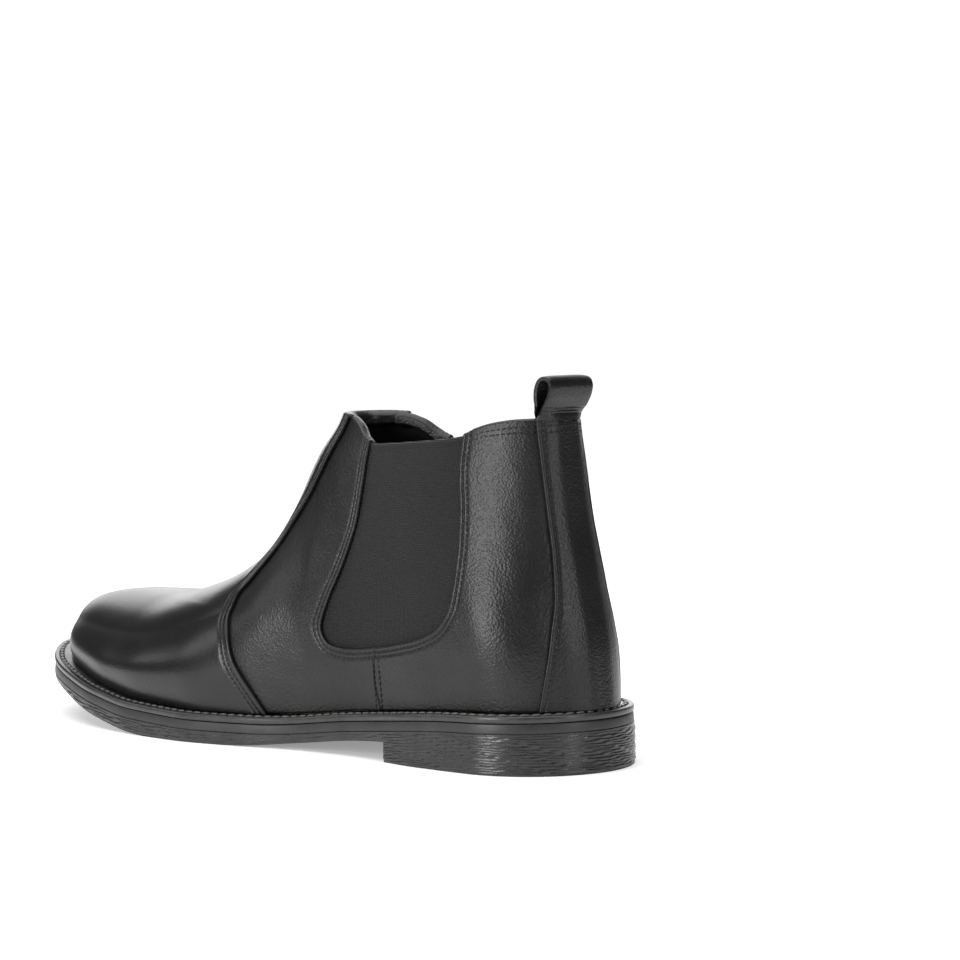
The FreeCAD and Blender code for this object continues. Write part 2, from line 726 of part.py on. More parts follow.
def main():
    pieces = make_pieces()
    box = Part.makeCompound(list(pieces.values())).optimalBoundingBox()
    origin = FreeCAD.Vector(-box.Center.x, -box.Center.y, -box.ZMin)
    os.makedirs("parts", exist_ok=True)
    for name, shape in pieces.items():
        shape.translate(origin)
        shape.exportStep(os.path.join("parts", name + ".step"))
        state = "valid" if shape.isValid() else "NOT VALID"
        print(name, state, len(shape.Solids), round(shape.Volume / 1000.0, 2))
    print("origin moved by", [round(v, 3) for v in origin])


main()
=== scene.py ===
import math
import bmesh
import bpy
import numpy as np
from mathutils import Matrix, Vector


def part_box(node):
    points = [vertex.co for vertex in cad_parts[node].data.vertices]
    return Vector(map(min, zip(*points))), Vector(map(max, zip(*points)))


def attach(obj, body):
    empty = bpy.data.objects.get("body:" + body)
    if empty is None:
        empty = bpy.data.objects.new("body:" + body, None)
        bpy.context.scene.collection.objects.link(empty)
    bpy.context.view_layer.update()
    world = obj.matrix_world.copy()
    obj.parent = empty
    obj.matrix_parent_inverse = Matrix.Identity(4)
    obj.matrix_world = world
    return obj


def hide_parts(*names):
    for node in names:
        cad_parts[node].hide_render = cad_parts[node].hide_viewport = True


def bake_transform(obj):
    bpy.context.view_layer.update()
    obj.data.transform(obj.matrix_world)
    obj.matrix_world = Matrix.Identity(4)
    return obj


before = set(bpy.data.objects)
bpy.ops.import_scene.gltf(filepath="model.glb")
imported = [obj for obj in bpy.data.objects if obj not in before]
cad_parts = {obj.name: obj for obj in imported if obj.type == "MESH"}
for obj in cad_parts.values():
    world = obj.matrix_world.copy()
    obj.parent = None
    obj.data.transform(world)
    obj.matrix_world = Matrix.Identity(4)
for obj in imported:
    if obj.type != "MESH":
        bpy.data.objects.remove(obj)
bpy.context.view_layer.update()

# ------------------------------------------------------------------ outsole
# Moulded rubber outsole with a low heel. The block is one moulding; its side wall carries fine wavy
# ribs all round, cut into the mould, and is smoother at the waist. Lengths are in millimetres from the
# back of the heel, and become metres in the boot's own frame when a mesh is made.
LENGTH = 300.0
HEEL_ROUND = 34.0
TOE_ROUND = 70.0
HEEL_BREAST = 77.0
OUTER_HALF_WIDTHS = [(0, 33.8), (60, 37.6), (90, 35.2), (120, 37.2), (150, 44.6), (180, 50.0),
                     (205, 49.8), (230, 46.6), (255, 42.4), (275, 40.2), (300, 34.0)]
INNER_HALF_WIDTHS = [(0, 33.3), (60, 36.0), (90, 33.5), (120, 32.0), (150, 34.5), (180, 41.0),
                     (205, 47.0), (230, 48.5), (255, 47.1), (275, 45.7), (300, 42.7)]
SEAT_HEIGHTS = [(0, 21.3), (40, 20.3), (96, 15.5), (140, 11.2), (165, 11.0), (205, 12.3),
                (235, 15.8), (272, 21.8), (300, 26.8)]
TREAD_HEIGHTS = [(77, 7.3), (96, 5.9), (123, 2.7), (150, 0.2), (165, -0.2), (192, -0.2), (218, 2.4),
                 (237, 5.7), (251, 8.8), (264, 12.0), (300, 19.5)]
WELT_THICKNESS = 2.5
RUNNER_THICKNESS = 3.4
GLUE_LINE = 0.2


def smooth_through(points):
    """Shape-keeping curve through (place, value) points, level beyond both ends."""
    places, values = np.array(points, float).T
    step = np.diff(places)
    rise = np.diff(values) / step
    slope = np.zeros(len(places))
    slope[0] = rise[0]
    slope[-1] = rise[-1]
    for i in range(1, len(places) - 1):
        if rise[i - 1] * rise[i] > 0:
            w0 = 2 * step[i] + step[i - 1]
            w1 = step[i] + 2 * step[i - 1]
            slope[i] = (w0 + w1) / (w0 / rise[i - 1] + w1 / rise[i])

    def value(x):
        x = np.clip(x, places[0], places[-1])
        i = np.clip(np.searchsorted(places, x, side="right") - 1, 0, len(places) - 2)
        t = (x - places[i]) / step[i]
        keep = (1 + 2 * t) * (1 - t) ** 2 * values[i] + t * t * (3 - 2 * t) * values[i + 1]
        return keep + step[i] * (t * (1 - t) ** 2 * slope[i] - t * t * (1 - t) * slope[i + 1])

    return value


outer_half = smooth_through(OUTER_HALF_WIDTHS)
inner_half = smooth_through(INNER_HALF_WIDTHS)
seat = smooth_through(SEAT_HEIGHTS)
tread = smooth_through(TREAD_HEIGHTS)


def walked_along(points):
    """Distance walked from the first point of a run to each of its points."""
    return np.concatenate([[0], np.cumsum(np.linalg.norm(np.diff(points, axis=0), axis=1))])


def read_along(at, walked, values):
    """Rows of values read at given distances of a run."""
    return np.stack([np.interp(at, walked, column) for column in values.T], axis=1)


def round_end(share):
    """Quarter circle that closes an end: 0 at its tip, 1 where the sole is full."""
    return np.sqrt(1.0 - (1.0 - np.clip(share, 0.0, 1.0)) ** 2)


def plan_half(x, side):
    """Half width of the sole over the welt; side is +1 outer, -1 inner."""
    half = np.where(side > 0, outer_half(x), inner_half(x))
    return half * round_end(x / HEEL_ROUND) * round_end((LENGTH - x) / TOE_ROUND)


def in_frame(points):
    """Points in millimetres from the heel back, as metres in the boot's frame."""
    low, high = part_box("outsole")
    stations = np.linspace(0, LENGTH, 601)
    lean = plan_half(stations, 1).max() - plan_half(stations, -1).max()
    start = np.array([low.x * 1000, (low.y + high.y) * 500 - lean / 2, low.z * 1000])
    return (np.asarray(points) + start) / 1000


SHIFT = in_frame((0, 0, 0))


def outline():
    """Closed run round the sole, outer side first, with its outward directions."""
    share = (1 - np.cos(math.pi * np.arange(1, 230) / 230)) / 2
    x = np.sort(np.concatenate([LENGTH * share, [HEEL_BREAST - 0.15, HEEL_BREAST]]))
    outer = np.column_stack([x, plan_half(x, 1)])
    inner = np.column_stack([x, -plan_half(x, -1)])
    run = np.concatenate([[(0, 0)], outer, [(LENGTH, 0)], inner[::-1]])
    ahead = np.roll(run, -1, axis=0) - np.roll(run, 1, axis=0)
    ahead /= np.linalg.norm(ahead, axis=1)[:, None]
    return run, np.stack([-ahead[:, 1], ahead[:, 0]], axis=1)


OUTLINE, OUTWARD = outline()


def sheet_mesh(name, points, closed_rows=False, closed_columns=False, merge=False, fill=False, towards=None):
    """Mesh object of quads with its corners at points (rows, columns, xyz), in millimetres."""
    if closed_rows:
        points = np.concatenate([points, points[:1]], axis=0)
    if closed_columns:
        points = np.concatenate([points, points[:, :1]], axis=1)
    places = np.asarray(points, float) / 1000 + SHIFT
    rows, columns = places.shape[:2]
    bm = bmesh.new()
    bmesh.ops.create_grid(bm, x_segments=columns - 1, y_segments=rows - 1, size=1.0)
    grid = places.tolist()
    for v in bm.verts:
        column = round((v.co.x + 1) / 2 * (columns - 1))
        row = round((v.co.y + 1) / 2 * (rows - 1))
        v.co = grid[row][column]
    if merge or closed_rows or closed_columns:
        bmesh.ops.remove_doubles(bm, verts=bm.verts, dist=2e-6)
    if fill:
        bmesh.ops.holes_fill(bm, edges=bm.edges, sides=0)
    bm.normal_update()
    if towards is None:
        bmesh.ops.recalc_face_normals(bm, faces=bm.faces)
    else:
        bm.faces.ensure_lookup_table()
        middle = bm.faces[len(bm.faces) // 2]
        if middle.normal.dot(towards(middle.calc_center_median())) < 0:
            bmesh.ops.reverse_faces(bm, faces=bm.faces)
    return finished(name, bm)


def finished(name, bm):
    """Smooth-shaded object from a bmesh, standing at the origin."""
    mesh = bpy.data.meshes.new(name)
    bm.to_mesh(mesh)
    bm.free()
    for polygon in mesh.polygons:
        polygon.use_smooth = True
    thing = bpy.data.objects.new(name, mesh)
    bpy.context.scene.collection.objects.link(thing)
    return thing


def ring_mesh(name, section):
    """Closed ring round the sole; section gives x-dependent (inset, height) columns as arrays."""
    columns = []
    for inset, height in section:
        place = OUTLINE - OUTWARD * inset[:, None]
        columns.append(np.column_stack([place, height]))
    return sheet_mesh(name, np.stack(columns, axis=1), closed_rows=True, closed_columns=True)


def new_material(name, colour, roughness, **sockets):
    """Material with its Principled shader; further sockets are set by name with underscores."""
    material = bpy.data.materials.new(name)
    material.use_nodes = True
    shader = material.node_tree.nodes["Principled BSDF"]
    shader.inputs["Base Color"].default_value = (*colour, 1)
    shader.inputs["Roughness"].default_value = roughness
    for key, value in sockets.items():
        shader.inputs[key.replace("_", " ")].default_value = value
    return material, material.node_tree, shader


def node(tree, kind, inputs=(), **settings):
    """Node with its settings; inputs pairs a socket with a value or with another node's output."""
    made = tree.nodes.new(kind)
    for key, value in settings.items():
        setattr(made, key, value)
    for socket, value in inputs:
        if isinstance(value, bpy.types.NodeSocket):
            tree.links.new(value, made.inputs[socket])
        else:
            made.inputs[socket].default_value = value
    return made


def mix_value(tree, mode, a, b):
    return node(tree, "ShaderNodeMath", [(0, a), (1, b)], operation=mode).outputs[0]


def two_tones(tree, shader, factor, dark, light, start=0.3, end=0.7):
    """Base colour that runs from dark to light with a pattern."""
    ramp = node(tree, "ShaderNodeValToRGB", [(0, factor)])
    ramp.color_ramp.elements[0].position = start
    ramp.color_ramp.elements[0].color = (*dark, 1)
    ramp.color_ramp.elements[1].position = end
    ramp.color_ramp.elements[1].color = (*light, 1)
    tree.links.new(ramp.outputs[0], shader.inputs["Base Color"])


def vary_roughness(tree, shader, factor, low, high):
    """Roughness that runs from low to high with a pattern."""
    spread = node(tree, "ShaderNodeMapRange", [("Value", factor), ("To Min", low), ("To Max", high)])
    tree.links.new(spread.outputs[0], shader.inputs["Roughness"])


def relief(tree, shader, height, depth, strength=1.0):
    """Bump of a given depth in metres from a height pattern; earlier relief is kept underneath."""
    bump = node(tree, "ShaderNodeBump", [("Height", height), ("Distance", depth), ("Strength", strength)])
    for link in list(shader.inputs["Normal"].links):
        tree.links.new(link.from_socket, bump.inputs["Normal"])
    tree.links.new(bump.outputs[0], shader.inputs["Normal"])


def noise(tree, scale, detail=4.0, stretch=(1, 1, 1), turn=(0, 0, 0), distortion=0.0):
    """Noise in object coordinates, stretched along the axes."""
    place = node(tree, "ShaderNodeTexCoord").outputs["Object"]
    mapped = node(tree, "ShaderNodeMapping", [("Vector", place), ("Scale", stretch), ("Rotation", turn)])
    look = [("Scale", scale), ("Detail", detail), ("Distortion", distortion)]
    return node(tree, "ShaderNodeTexNoise", [("Vector", mapped.outputs[0]), *look]).outputs["Fac"]


def cells(tree, scale, feature="F1"):
    """Distance to the nearest cell centre, in object coordinates."""
    place = node(tree, "ShaderNodeTexCoord").outputs["Object"]
    inputs = [("Vector", place), ("Scale", scale)]
    return node(tree, "ShaderNodeTexVoronoi", inputs, feature=feature).outputs["Distance"]


def fitted(thing, material, slot, *nodes):
    """The finish of a piece fixed to the boot, and the CAD parts that it stands for."""
    thing.data.materials.append(material)
    if nodes:
        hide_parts(*nodes)
    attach(thing, "boot")


def rubber(name, shine, speckle):
    """Black moulded rubber: satin, faintly mottled, with a bloom of fine specks from the mould."""
    material, tree, shader = new_material(name, (0.03, 0.03, 0.031), shine, Specular_IOR_Level=0.6)
    cloud = noise(tree, 90, 5)
    two_tones(tree, shader, cloud, (0.007, 0.007, 0.0072), (0.018, 0.018, 0.0185))
    vary_roughness(tree, shader, noise(tree, 420, 3), shine - 0.1, shine + 0.14)
    relief(tree, shader, noise(tree, 2600, 3), 0.00004, speckle)
    relief(tree, shader, noise(tree, 700, 4, stretch=(0.35, 0.35, 1.6)), 0.00009, speckle)
    return material


WALL_RUBBER = rubber("ribbed_sole_rubber", 0.27, 0.8)
RIB_PITCH = 1.08
RIB_DEPTH = 0.5
RIB_START = 1.2


def sole_top(x):
    return seat(x) - WELT_THICKNESS - RUNNER_THICKNESS - 2 * GLUE_LINE


def sole_bottom(x):
    return np.where(x < HEEL_BREAST - 0.05, 0.0, np.maximum(tread(x), 0.0))


def outsole_wall():
    """Ribbed skin of the moulded wall, a little proud of the block."""
    x = OUTLINE[:, 0]
    run = walked_along(OUTLINE)
    top = sole_top(x)
    depth = top - sole_bottom(x) - 0.25
    waist = np.clip((x - 70) / 18, 0, 1) * np.clip((168 - x) / 22, 0, 1)
    still = 1 - 0.72 * waist
    columns = [(np.full(len(x), 0.8), top - 0.02), (np.full(len(x), 0.05), top - 0.01)]
    for drop in np.arange(0.05, 16.2, 0.18):
        down = np.minimum(drop, depth)
        wave = 0.30 * np.sin(run / 5.3 + down * 0.9) + 0.22 * np.sin(run / 2.1 + 1.7 * down)
        wave += 0.25 * np.sin(run / 17) + 0.12 * np.sin(run / 1.05 + 3.1 * down)
        phase = (down - RIB_START) / RIB_PITCH + wave
        ridge = 1 - np.abs(np.sin(math.pi * phase)) ** 0.6
        grown = np.clip((down - RIB_START + 0.5) / 0.8, 0, 1)
        uneven = 0.8 + 0.2 * np.sin(run / 3.7 + 1.9 * down)
        rise = 0.10 + RIB_DEPTH * ridge * grown * still * uneven
        near_foot = np.clip((depth - down) / 0.7, 0, 1)
        rise = rise * near_foot - 0.10 * (1 - near_foot)
        columns.append((-rise, top - down))
    columns.append((np.full(len(x), 0.8), top - depth - 0.02))
    fitted(ring_mesh("outsole_wall", columns), WALL_RUBBER, "rubber_sole")


outsole_wall()


def dress(name, material):
    """A carried-over part gets its finish."""
    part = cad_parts[name]
    part.data.materials.clear()
    part.data.materials.append(material)


dress("outsole", rubber("tread_rubber", 0.5, 0.6))

# ------------------------------------------------------------------ heel core
# Light foamed block glued into the hollow of the heel, so that the heel isn't solid rubber.
# It is cut from expanded sheet and shows its open cells.


def foam():
    material, tree, shader = new_material("heel_foam", (0.10, 0.10, 0.10), 0.85)
    pores = cells(tree, 900)
    two_tones(tree, shader, pores, (0.05, 0.05, 0.05), (0.14, 0.14, 0.14))
    relief(tree, shader, pores, 0.0002)
    return material


dress("heel_core", foam())

# ------------------------------------------------------------------ runner between welt and outsole
# Smooth rubber midsole, cemented to the outsole. Its edge is trimmed and buffed with the welt, and its
# corners are slightly broken, which leaves a fine dark line above and below.
RUNNER_INSET = 0.22


def plate(name, section, inner_rows):
    """Closed plate: section columns run over the edge from top to bottom, then both faces close."""
    edge = [np.column_stack([OUTLINE - OUTWARD * inset[:, None], height]) for inset, height in section]
    top = [edge[0] * (1, k, 1) for k in inner_rows]
    bottom = [edge[-1] * (1, k, 1) for k in inner_rows[::-1]]
    return sheet_mesh(name, np.stack(top + edge + bottom, axis=1), closed_rows=True, merge=True)


def level_section(pairs, base):
    """Section columns from (inset, rise) pairs; rise is above a base height that follows the sole."""
    flat = np.ones(len(OUTLINE))
    return [(flat * inset, base + rise) for inset, rise in pairs]


edge_shape = [(1.2, 0.0), (0.3, 0.0), (0.08, 0.05), (0.0, 0.16), (-0.1, 0.5), (-0.2, 0.9), (-0.15, 1.03),
              (0.3, 1.05), (1.2, 1.05)]
runner_edge = [(RUNNER_INSET + inset, -share * RUNNER_THICKNESS) for inset, share in edge_shape]
runner_top = seat(OUTLINE[:, 0]) - WELT_THICKNESS - GLUE_LINE
runner = plate("runner", level_section(runner_edge, runner_top), (0.0, 0.3, 0.6, 0.85))
fitted(runner, rubber("runner_rubber", 0.42, 0.35), "rubber_runner", "midsole")

# ------------------------------------------------------------------ welt
# Strip of burnished leather board round the foot, stitched through near its edge. The stitches lie in
# a channel; the outer edge is rounded and waxed, and shines along its top corner.
WELT_WIDTH = 12.0
CHANNEL_INSET = 2.0
CHANNEL_WIDTH = 1.7
CHANNEL_DEPTH = 0.8


def welt():
    near = CHANNEL_INSET
    far = CHANNEL_INSET + CHANNEL_WIDTH
    places = [(0.45, -2.5), (0.12, -2.3), (0.0, -1.9), (-0.06, -1.2), (0.0, -0.65), (0.14, -0.28),
              (0.4, -0.06), (0.75, 0.0), (near - 0.35, -0.02), (near - 0.05, -0.18),
              (near + 0.12, -CHANNEL_DEPTH), ((near + far) / 2, -CHANNEL_DEPTH - 0.05),
              (far - 0.12, -CHANNEL_DEPTH), (far + 0.05, -0.15), (far + 0.35, 0.0), (7.0, 0.05),
              (WELT_WIDTH, 0.0), (WELT_WIDTH, -WELT_THICKNESS)]
    strip = ring_mesh("welt_strip", level_section(places, seat(OUTLINE[:, 0])))
    material, tree, shader = new_material("burnished_welt", (0.02, 0.02, 0.02), 0.3, Coat_Weight=0.25,
                                          Coat_Roughness=0.25)
    two_tones(tree, shader, noise(tree, 160, 5), (0.010, 0.010, 0.010), (0.030, 0.029, 0.028))
    vary_roughness(tree, shader, noise(tree, 500, 3), 0.24, 0.46)
    relief(tree, shader, noise(tree, 1500, 4, stretch=(0.5, 0.5, 2.0)), 0.00008)
    fitted(strip, material, "welt_leather", "welt")


welt()

# ------------------------------------------------------------------ welt stitching
# Thick waxed thread, locked through welt, runner and outsole, with a stitch every 4 mm. Each visible
# stitch is two plies laid round each other.
WELT_STITCH_PITCH = 4.0
WELT_STITCH_LENGTH = 3.4
WELT_THREAD = 1.45
WELT_STITCH_RISE = 0.10


def spaced(path, pitch):
    """Distances, centres and directions of stitches set every pitch along a run of points."""
    walked = walked_along(path)
    count = max(int(walked[-1] / pitch), 1)
    at = (np.arange(count) + 0.5) * walked[-1] / count
    along = read_along(at + 0.6, walked, path) - read_along(at - 0.6, walked, path)
    return at, read_along(at, walked, path), along / np.linalg.norm(along, axis=1)[:, None]


def add_stitch(bm, centre, along, up, length, thick, sides=6):
    """One rounded stitch of thread, lying along a direction."""
    across = Vector(along).cross(Vector(up)).normalized()
    rise = across.cross(Vector(along)).normalized()
    axes = Matrix((across * thick, rise * thick * 0.85, Vector(along) * length)).transposed()
    axes = (axes * 0.001).to_4x4()
    place = Vector(centre) / 1000 + Vector(SHIFT)
    bmesh.ops.create_uvsphere(bm, u_segments=sides, v_segments=5, radius=0.5,
                              matrix=Matrix.Translation(place) @ axes)


def thread(name, tone, shine):
    """Waxed thread: fine twisted plies, slightly glossy on top."""
    material, tree, shader = new_material(name, (tone, tone, tone), shine, Specular_IOR_Level=0.35)
    strands = noise(tree, 2400, 2, stretch=(1, 1, 0.6))
    two_tones(tree, shader, strands, (tone * 0.5,) * 3, (tone * 1.6,) * 3)
    relief(tree, shader, strands, 0.00006)
    return material


def welt_stitching():
    inset = CHANNEL_INSET + CHANNEL_WIDTH / 2
    place = OUTLINE - OUTWARD * inset
    path = np.column_stack([place, seat(OUTLINE[:, 0]) + WELT_STITCH_RISE])
    path = np.concatenate([path, path[:1]])
    bm = bmesh.new()
    _, centres, along = spaced(path, WELT_STITCH_PITCH)
    for centre, ahead in zip(centres, along):
        side = np.cross(ahead, (0, 0, 1))
        for lean in (-1, 1):
            turned = ahead + side * 0.10 * lean
            middle = centre + side * 0.20 * lean
            add_stitch(bm, middle, turned, (0, 0, 1), WELT_STITCH_LENGTH, WELT_THREAD * 0.72)
    waxed = thread("waxed_welt_thread", 0.09, 0.25)
    fitted(finished("welt_thread", bm), waxed, "waxed_thread", "welt_stitching")


welt_stitching()

# ------------------------------------------------------------------ shank, filler and insole board
# Under the foot: a sprung steel strip in the waist, cork that levels the forepart, and a fibre board
# that the upper is lasted to. They are hidden once the sock is in.


def steel():
    material, tree, shader = new_material("shank_steel", (0.42, 0.42, 0.44), 0.32, Metallic=1.0)
    vary_roughness(tree, shader, noise(tree, 900, 3, stretch=(0.05, 1, 1)), 0.22, 0.45)
    return material


def cork():
    material, tree, shader = new_material("cork", (0.42, 0.28, 0.16), 0.85)
    grains = cells(tree, 420)
    two_tones(tree, shader, grains, (0.22, 0.13, 0.07), (0.55, 0.38, 0.22), 0.1, 0.6)
    relief(tree, shader, grains, 0.0003)
    return material


def board(name, colour):
    """Pressed fibre: pale, matt, with short flecks."""
    material, tree, shader = new_material(name, colour, 0.9)
    flecks = noise(tree, 500, 6, stretch=(0.3, 1, 1), distortion=0.6)
    two_tones(tree, shader, flecks, tuple(c * 0.6 for c in colour), tuple(min(c * 1.15, 1) for c in colour))
    relief(tree, shader, flecks, 0.00015)
    return material


dress("shank", steel())
dress("cork_filler", cork())
dress("insole_board", board("fibre_board", (0.46, 0.38, 0.27)))

# ------------------------------------------------------------------ sock
# Padded sock of thin black leather over foam, glued on the insole board. It is a little crowned and soft at
# its edge.
BOARD_THICKNESS = 2.2
SOCK_INSET = 12.4


def grained_leather(name, dark, light, shine, grain, pebble=1500, coat=0.0, crease=0.4):
    """Black leather: pebbled pores, fine creases one way, and a soft change of shine."""
    material, tree, shader = new_material(name, light, shine, Specular_IOR_Level=0.42, Coat_Weight=coat,
                                          Coat_Roughness=0.22)
    two_tones(tree, shader, noise(tree, 45, 5), dark, light)
    vary_roughness(tree, shader, noise(tree, 30, 4, distortion=0.4), shine - 0.05, shine + 0.07)
    wrinkle = noise(tree, 620, 4, stretch=(0.6, 0.6, 2.2), turn=(0.0, 0.6, 0.0), distortion=0.4)
    relief(tree, shader, wrinkle, 0.00010, crease)
    relief(tree, shader, cells(tree, pebble, "SMOOTH_F1"), 0.00016, grain)
    relief(tree, shader, noise(tree, 3400, 2), 0.00003, grain)
    return material


def sock():
    base = seat(OUTLINE[:, 0]) + 2 * GLUE_LINE + BOARD_THICKNESS
    rolled = [(3.0, 2.5), (1.4, 2.35), (0.5, 1.9), (0.1, 1.3), (0.1, 0.6), (0.6, 0.15), (2.0, 0.0)]
    section = level_section([(SOCK_INSET + inset, rise) for inset, rise in rolled], base)
    pad = plate("padded_sock", section, (0.0, 0.2, 0.4, 0.6, 0.8, 0.93))
    soft = grained_leather("sock_leather", (0.02, 0.02, 0.02), (0.05, 0.05, 0.05), 0.5, 0.5)
    fitted(pad, soft, "sock_leather", "sock_liner")


sock()

# ------------------------------------------------------------------ stiffeners
# Moulded cup round the heel and cap over the toes, between leather and lining. They hold the shape and
# are hidden.
dress("heel_counter", board("counter_board", (0.50, 0.46, 0.38)))
dress("toe_puff", board("puff_board", (0.55, 0.52, 0.46)))

# ------------------------------------------------------------------ linings
# Thin glossy black leather: one piece for toe, instep and shaft front, one round the heel, and a low
# strip under each gore. They are sewn together inside, and wrinkle a little where the shaft bends.
UPPER_INSET = 5.0
UPPER_TIP = 293.6
INSTEP_PROFILE = [(122.0, 138.6), (126.3, 124.8), (138.0, 109.4), (163.7, 71.8), (194.0, 57.6),
                  (224.0, 51.2), (254.0, 50.1), (274.2, 47.4), (286.3, 41.0), (293.6, 26.4)]
HEEL_PROFILE = [(14.8, 1.8), (39.9, 3.6), (65.0, 8.7), (92.1, 14.6), (123.2, 18.3), (145.2, 19.4)]
SHAFT_HALF_WIDTHS = [(16, 36.0), (56, 33.5), (75, 31.6), (92, 28.8), (108, 26.0), (122, 22.8), (145, 21.5)]
SHAFT_BLEND = (41.0, 97.0)
DOME_POWER = 2.8
SHAFT_POWER = 2.4
SIDE_BULGE = 0.09
COLLAR_LINE = [(16, 123.4), (27, 123.3), (38, 122.2), (45, 120.4), (50, 118.4), (72, 116.2), (96, 115.0),
               (101, 117.0), (108, 121.6), (116, 124.2), (126.3, 124.8)]
COLLAR_BACK = 123.2
COLLAR_FRONT = (126.3, 124.8)
FRONT_LINING_EDGE = [(10, 125.0), (30, 125.0), (56, 121.5), (70, 114.0), (90, 106.0), (130, 105.5)]
HEEL_LINING_EDGE = [(10, 52.0), (40, 50.0), (56, 45.0), (90, 44.5), (108, 47.0), (130, 47.5)]
SIDE_LINING_FRONT = 130.0
SIDE_LINING_TOP = 0.20
FRONT_LINING_DEPTH = 3.4
HEEL_LINING_DEPTH = 4.85
LINING_THICKNESS = 0.9

instep_height = smooth_through(INSTEP_PROFILE)
heel_place = smooth_through(HEEL_PROFILE)
shaft_half = smooth_through(SHAFT_HALF_WIDTHS)
collar_height = smooth_through(COLLAR_LINE)
FRONT_RUN = np.linspace(UPPER_TIP, INSTEP_PROFILE[0][0], 2000)
FRONT_RISE = instep_height(FRONT_RUN)
WALK_X = np.linspace(COLLAR_FRONT[0], UPPER_TIP, 2000)
WALK_Z = instep_height(WALK_X)
WALKED = np.concatenate([[0], np.cumsum(np.hypot(np.diff(WALK_X), np.diff(WALK_Z)))])


def upper_half(x, z, side):
    """Half width of the upper at a point of its side view."""
    back = heel_place(z)
    front = np.interp(z, FRONT_RISE, FRONT_RUN)
    rise = np.clip((z - seat(x)) / np.maximum(instep_height(x) - seat(x), 0.001), 0, 1)
    along = np.clip((x - back) / (UPPER_TIP - back), 0, 1) * LENGTH
    plan = plan_half(along, side)
    plan = plan - UPPER_INSET * np.minimum(plan / 20, 1)
    bulge = 1 + SIDE_BULGE * np.sin(math.pi * np.minimum(rise * 1.6, 1))
    foot = plan * bulge * np.sqrt(np.maximum(1 - rise ** DOME_POWER, 0))
    across = np.clip((x - back) / np.maximum(front - back, 1), 0, 1)
    shaft = shaft_half(z) * np.maximum(1 - np.abs(2 * across - 1) ** SHAFT_POWER, 0) ** (1 / SHAFT_POWER)
    mix = np.clip((z - SHAFT_BLEND[0]) / (SHAFT_BLEND[1] - SHAFT_BLEND[0]), 0, 1)
    mix = mix * mix * (3 - 2 * mix)
    return (1 - mix) * foot + mix * shaft


def ring_ends(level):
    heel_z = seat(0) + (COLLAR_BACK - seat(0)) * level
    walk = (1 - level) * WALKED[-1]
    return heel_place(heel_z), heel_z, np.interp(walk, WALKED, WALK_X), np.interp(walk, WALKED, WALK_Z)


def ring_height(share, level):
    """Height of a ring at a share of its way from heel to front; level 0 is the seat, 1 the collar."""
    back_x, back_z, front_x, front_z = ring_ends(level)
    chord = back_z + share * (front_z - back_z)
    low_x = heel_place(seat(0)) + share * (UPPER_TIP - heel_place(seat(0)))
    low_dip = seat(low_x) - seat(0) - share * (seat(UPPER_TIP) - seat(0))
    top_x = heel_place(COLLAR_BACK) + share * (COLLAR_FRONT[0] - heel_place(COLLAR_BACK))
    top_dip = collar_height(top_x) - COLLAR_BACK - share * (COLLAR_FRONT[1] - COLLAR_BACK)
    return chord + low_dip * (1 - level) ** 2 + top_dip * level ** 6


def skin(turn, level):
    """Points of the outer surface. turn 0 is the heel centre, pi the front, +pi/2 the outer side."""
    turn, level = np.broadcast_arrays(np.asarray(turn, float), np.asarray(level, float))
    share = (1 - np.cos(turn)) / 2
    back_x, _, front_x, _ = ring_ends(level)
    x = back_x + share * (front_x - back_x)
    z = ring_height(share, level)
    side = np.where(np.sin(turn) >= 0, 1.0, -1.0)
    return np.stack([x, side * upper_half(x, z, side) + 0.2 * np.sin(turn), z], axis=-1)


def unit(v):
    return v / np.maximum(np.linalg.norm(v, axis=-1, keepdims=True), 1e-9)


def outward(turn, level):
    """Unit normals of the outer surface."""
    around = skin(turn + 0.02, level) - skin(turn - 0.02, level)
    up = skin(turn, np.minimum(level + 0.006, 1)) - skin(turn, np.maximum(level - 0.006, 0))
    return unit(np.cross(up, around))


def turn_on_line(line, level):
    """Turn at which each ring meets a pattern line given as x at each height."""
    level = np.asarray(level, float)
    back_x, _, front_x, _ = ring_ends(level)
    low = np.zeros_like(level)
    high = np.ones_like(level)
    for _ in range(40):
        share = (low + high) / 2
        short = back_x + share * (front_x - back_x) < line(ring_height(share, level))
        low = np.where(short, share, low)
        high = np.where(short, high, share)
    return np.arccos(1 - (low + high))


def away_from_foot(point):
    """Rough outward direction at a point of the upper, in the boot's frame."""
    along = min(max((point.x - SHIFT[0]) * 1000, 60), 230)
    middle = Vector(in_frame((along, 0, 40)))
    return point - Vector((middle.x, middle.y, min(point.z, middle.z)))


def add_solidify(thing, thickness, offset=-1.0):
    """Thickness in millimetres; offset -1 puts it all below the surface."""
    solid = thing.modifiers.new("thickness", "SOLIDIFY")
    solid.thickness = thickness / 1000
    solid.offset = offset


LINING = grained_leather("lining_leather", (0.010, 0.010, 0.010), (0.026, 0.026, 0.026), 0.33, 0.5, 1300,
                         crease=0.9)


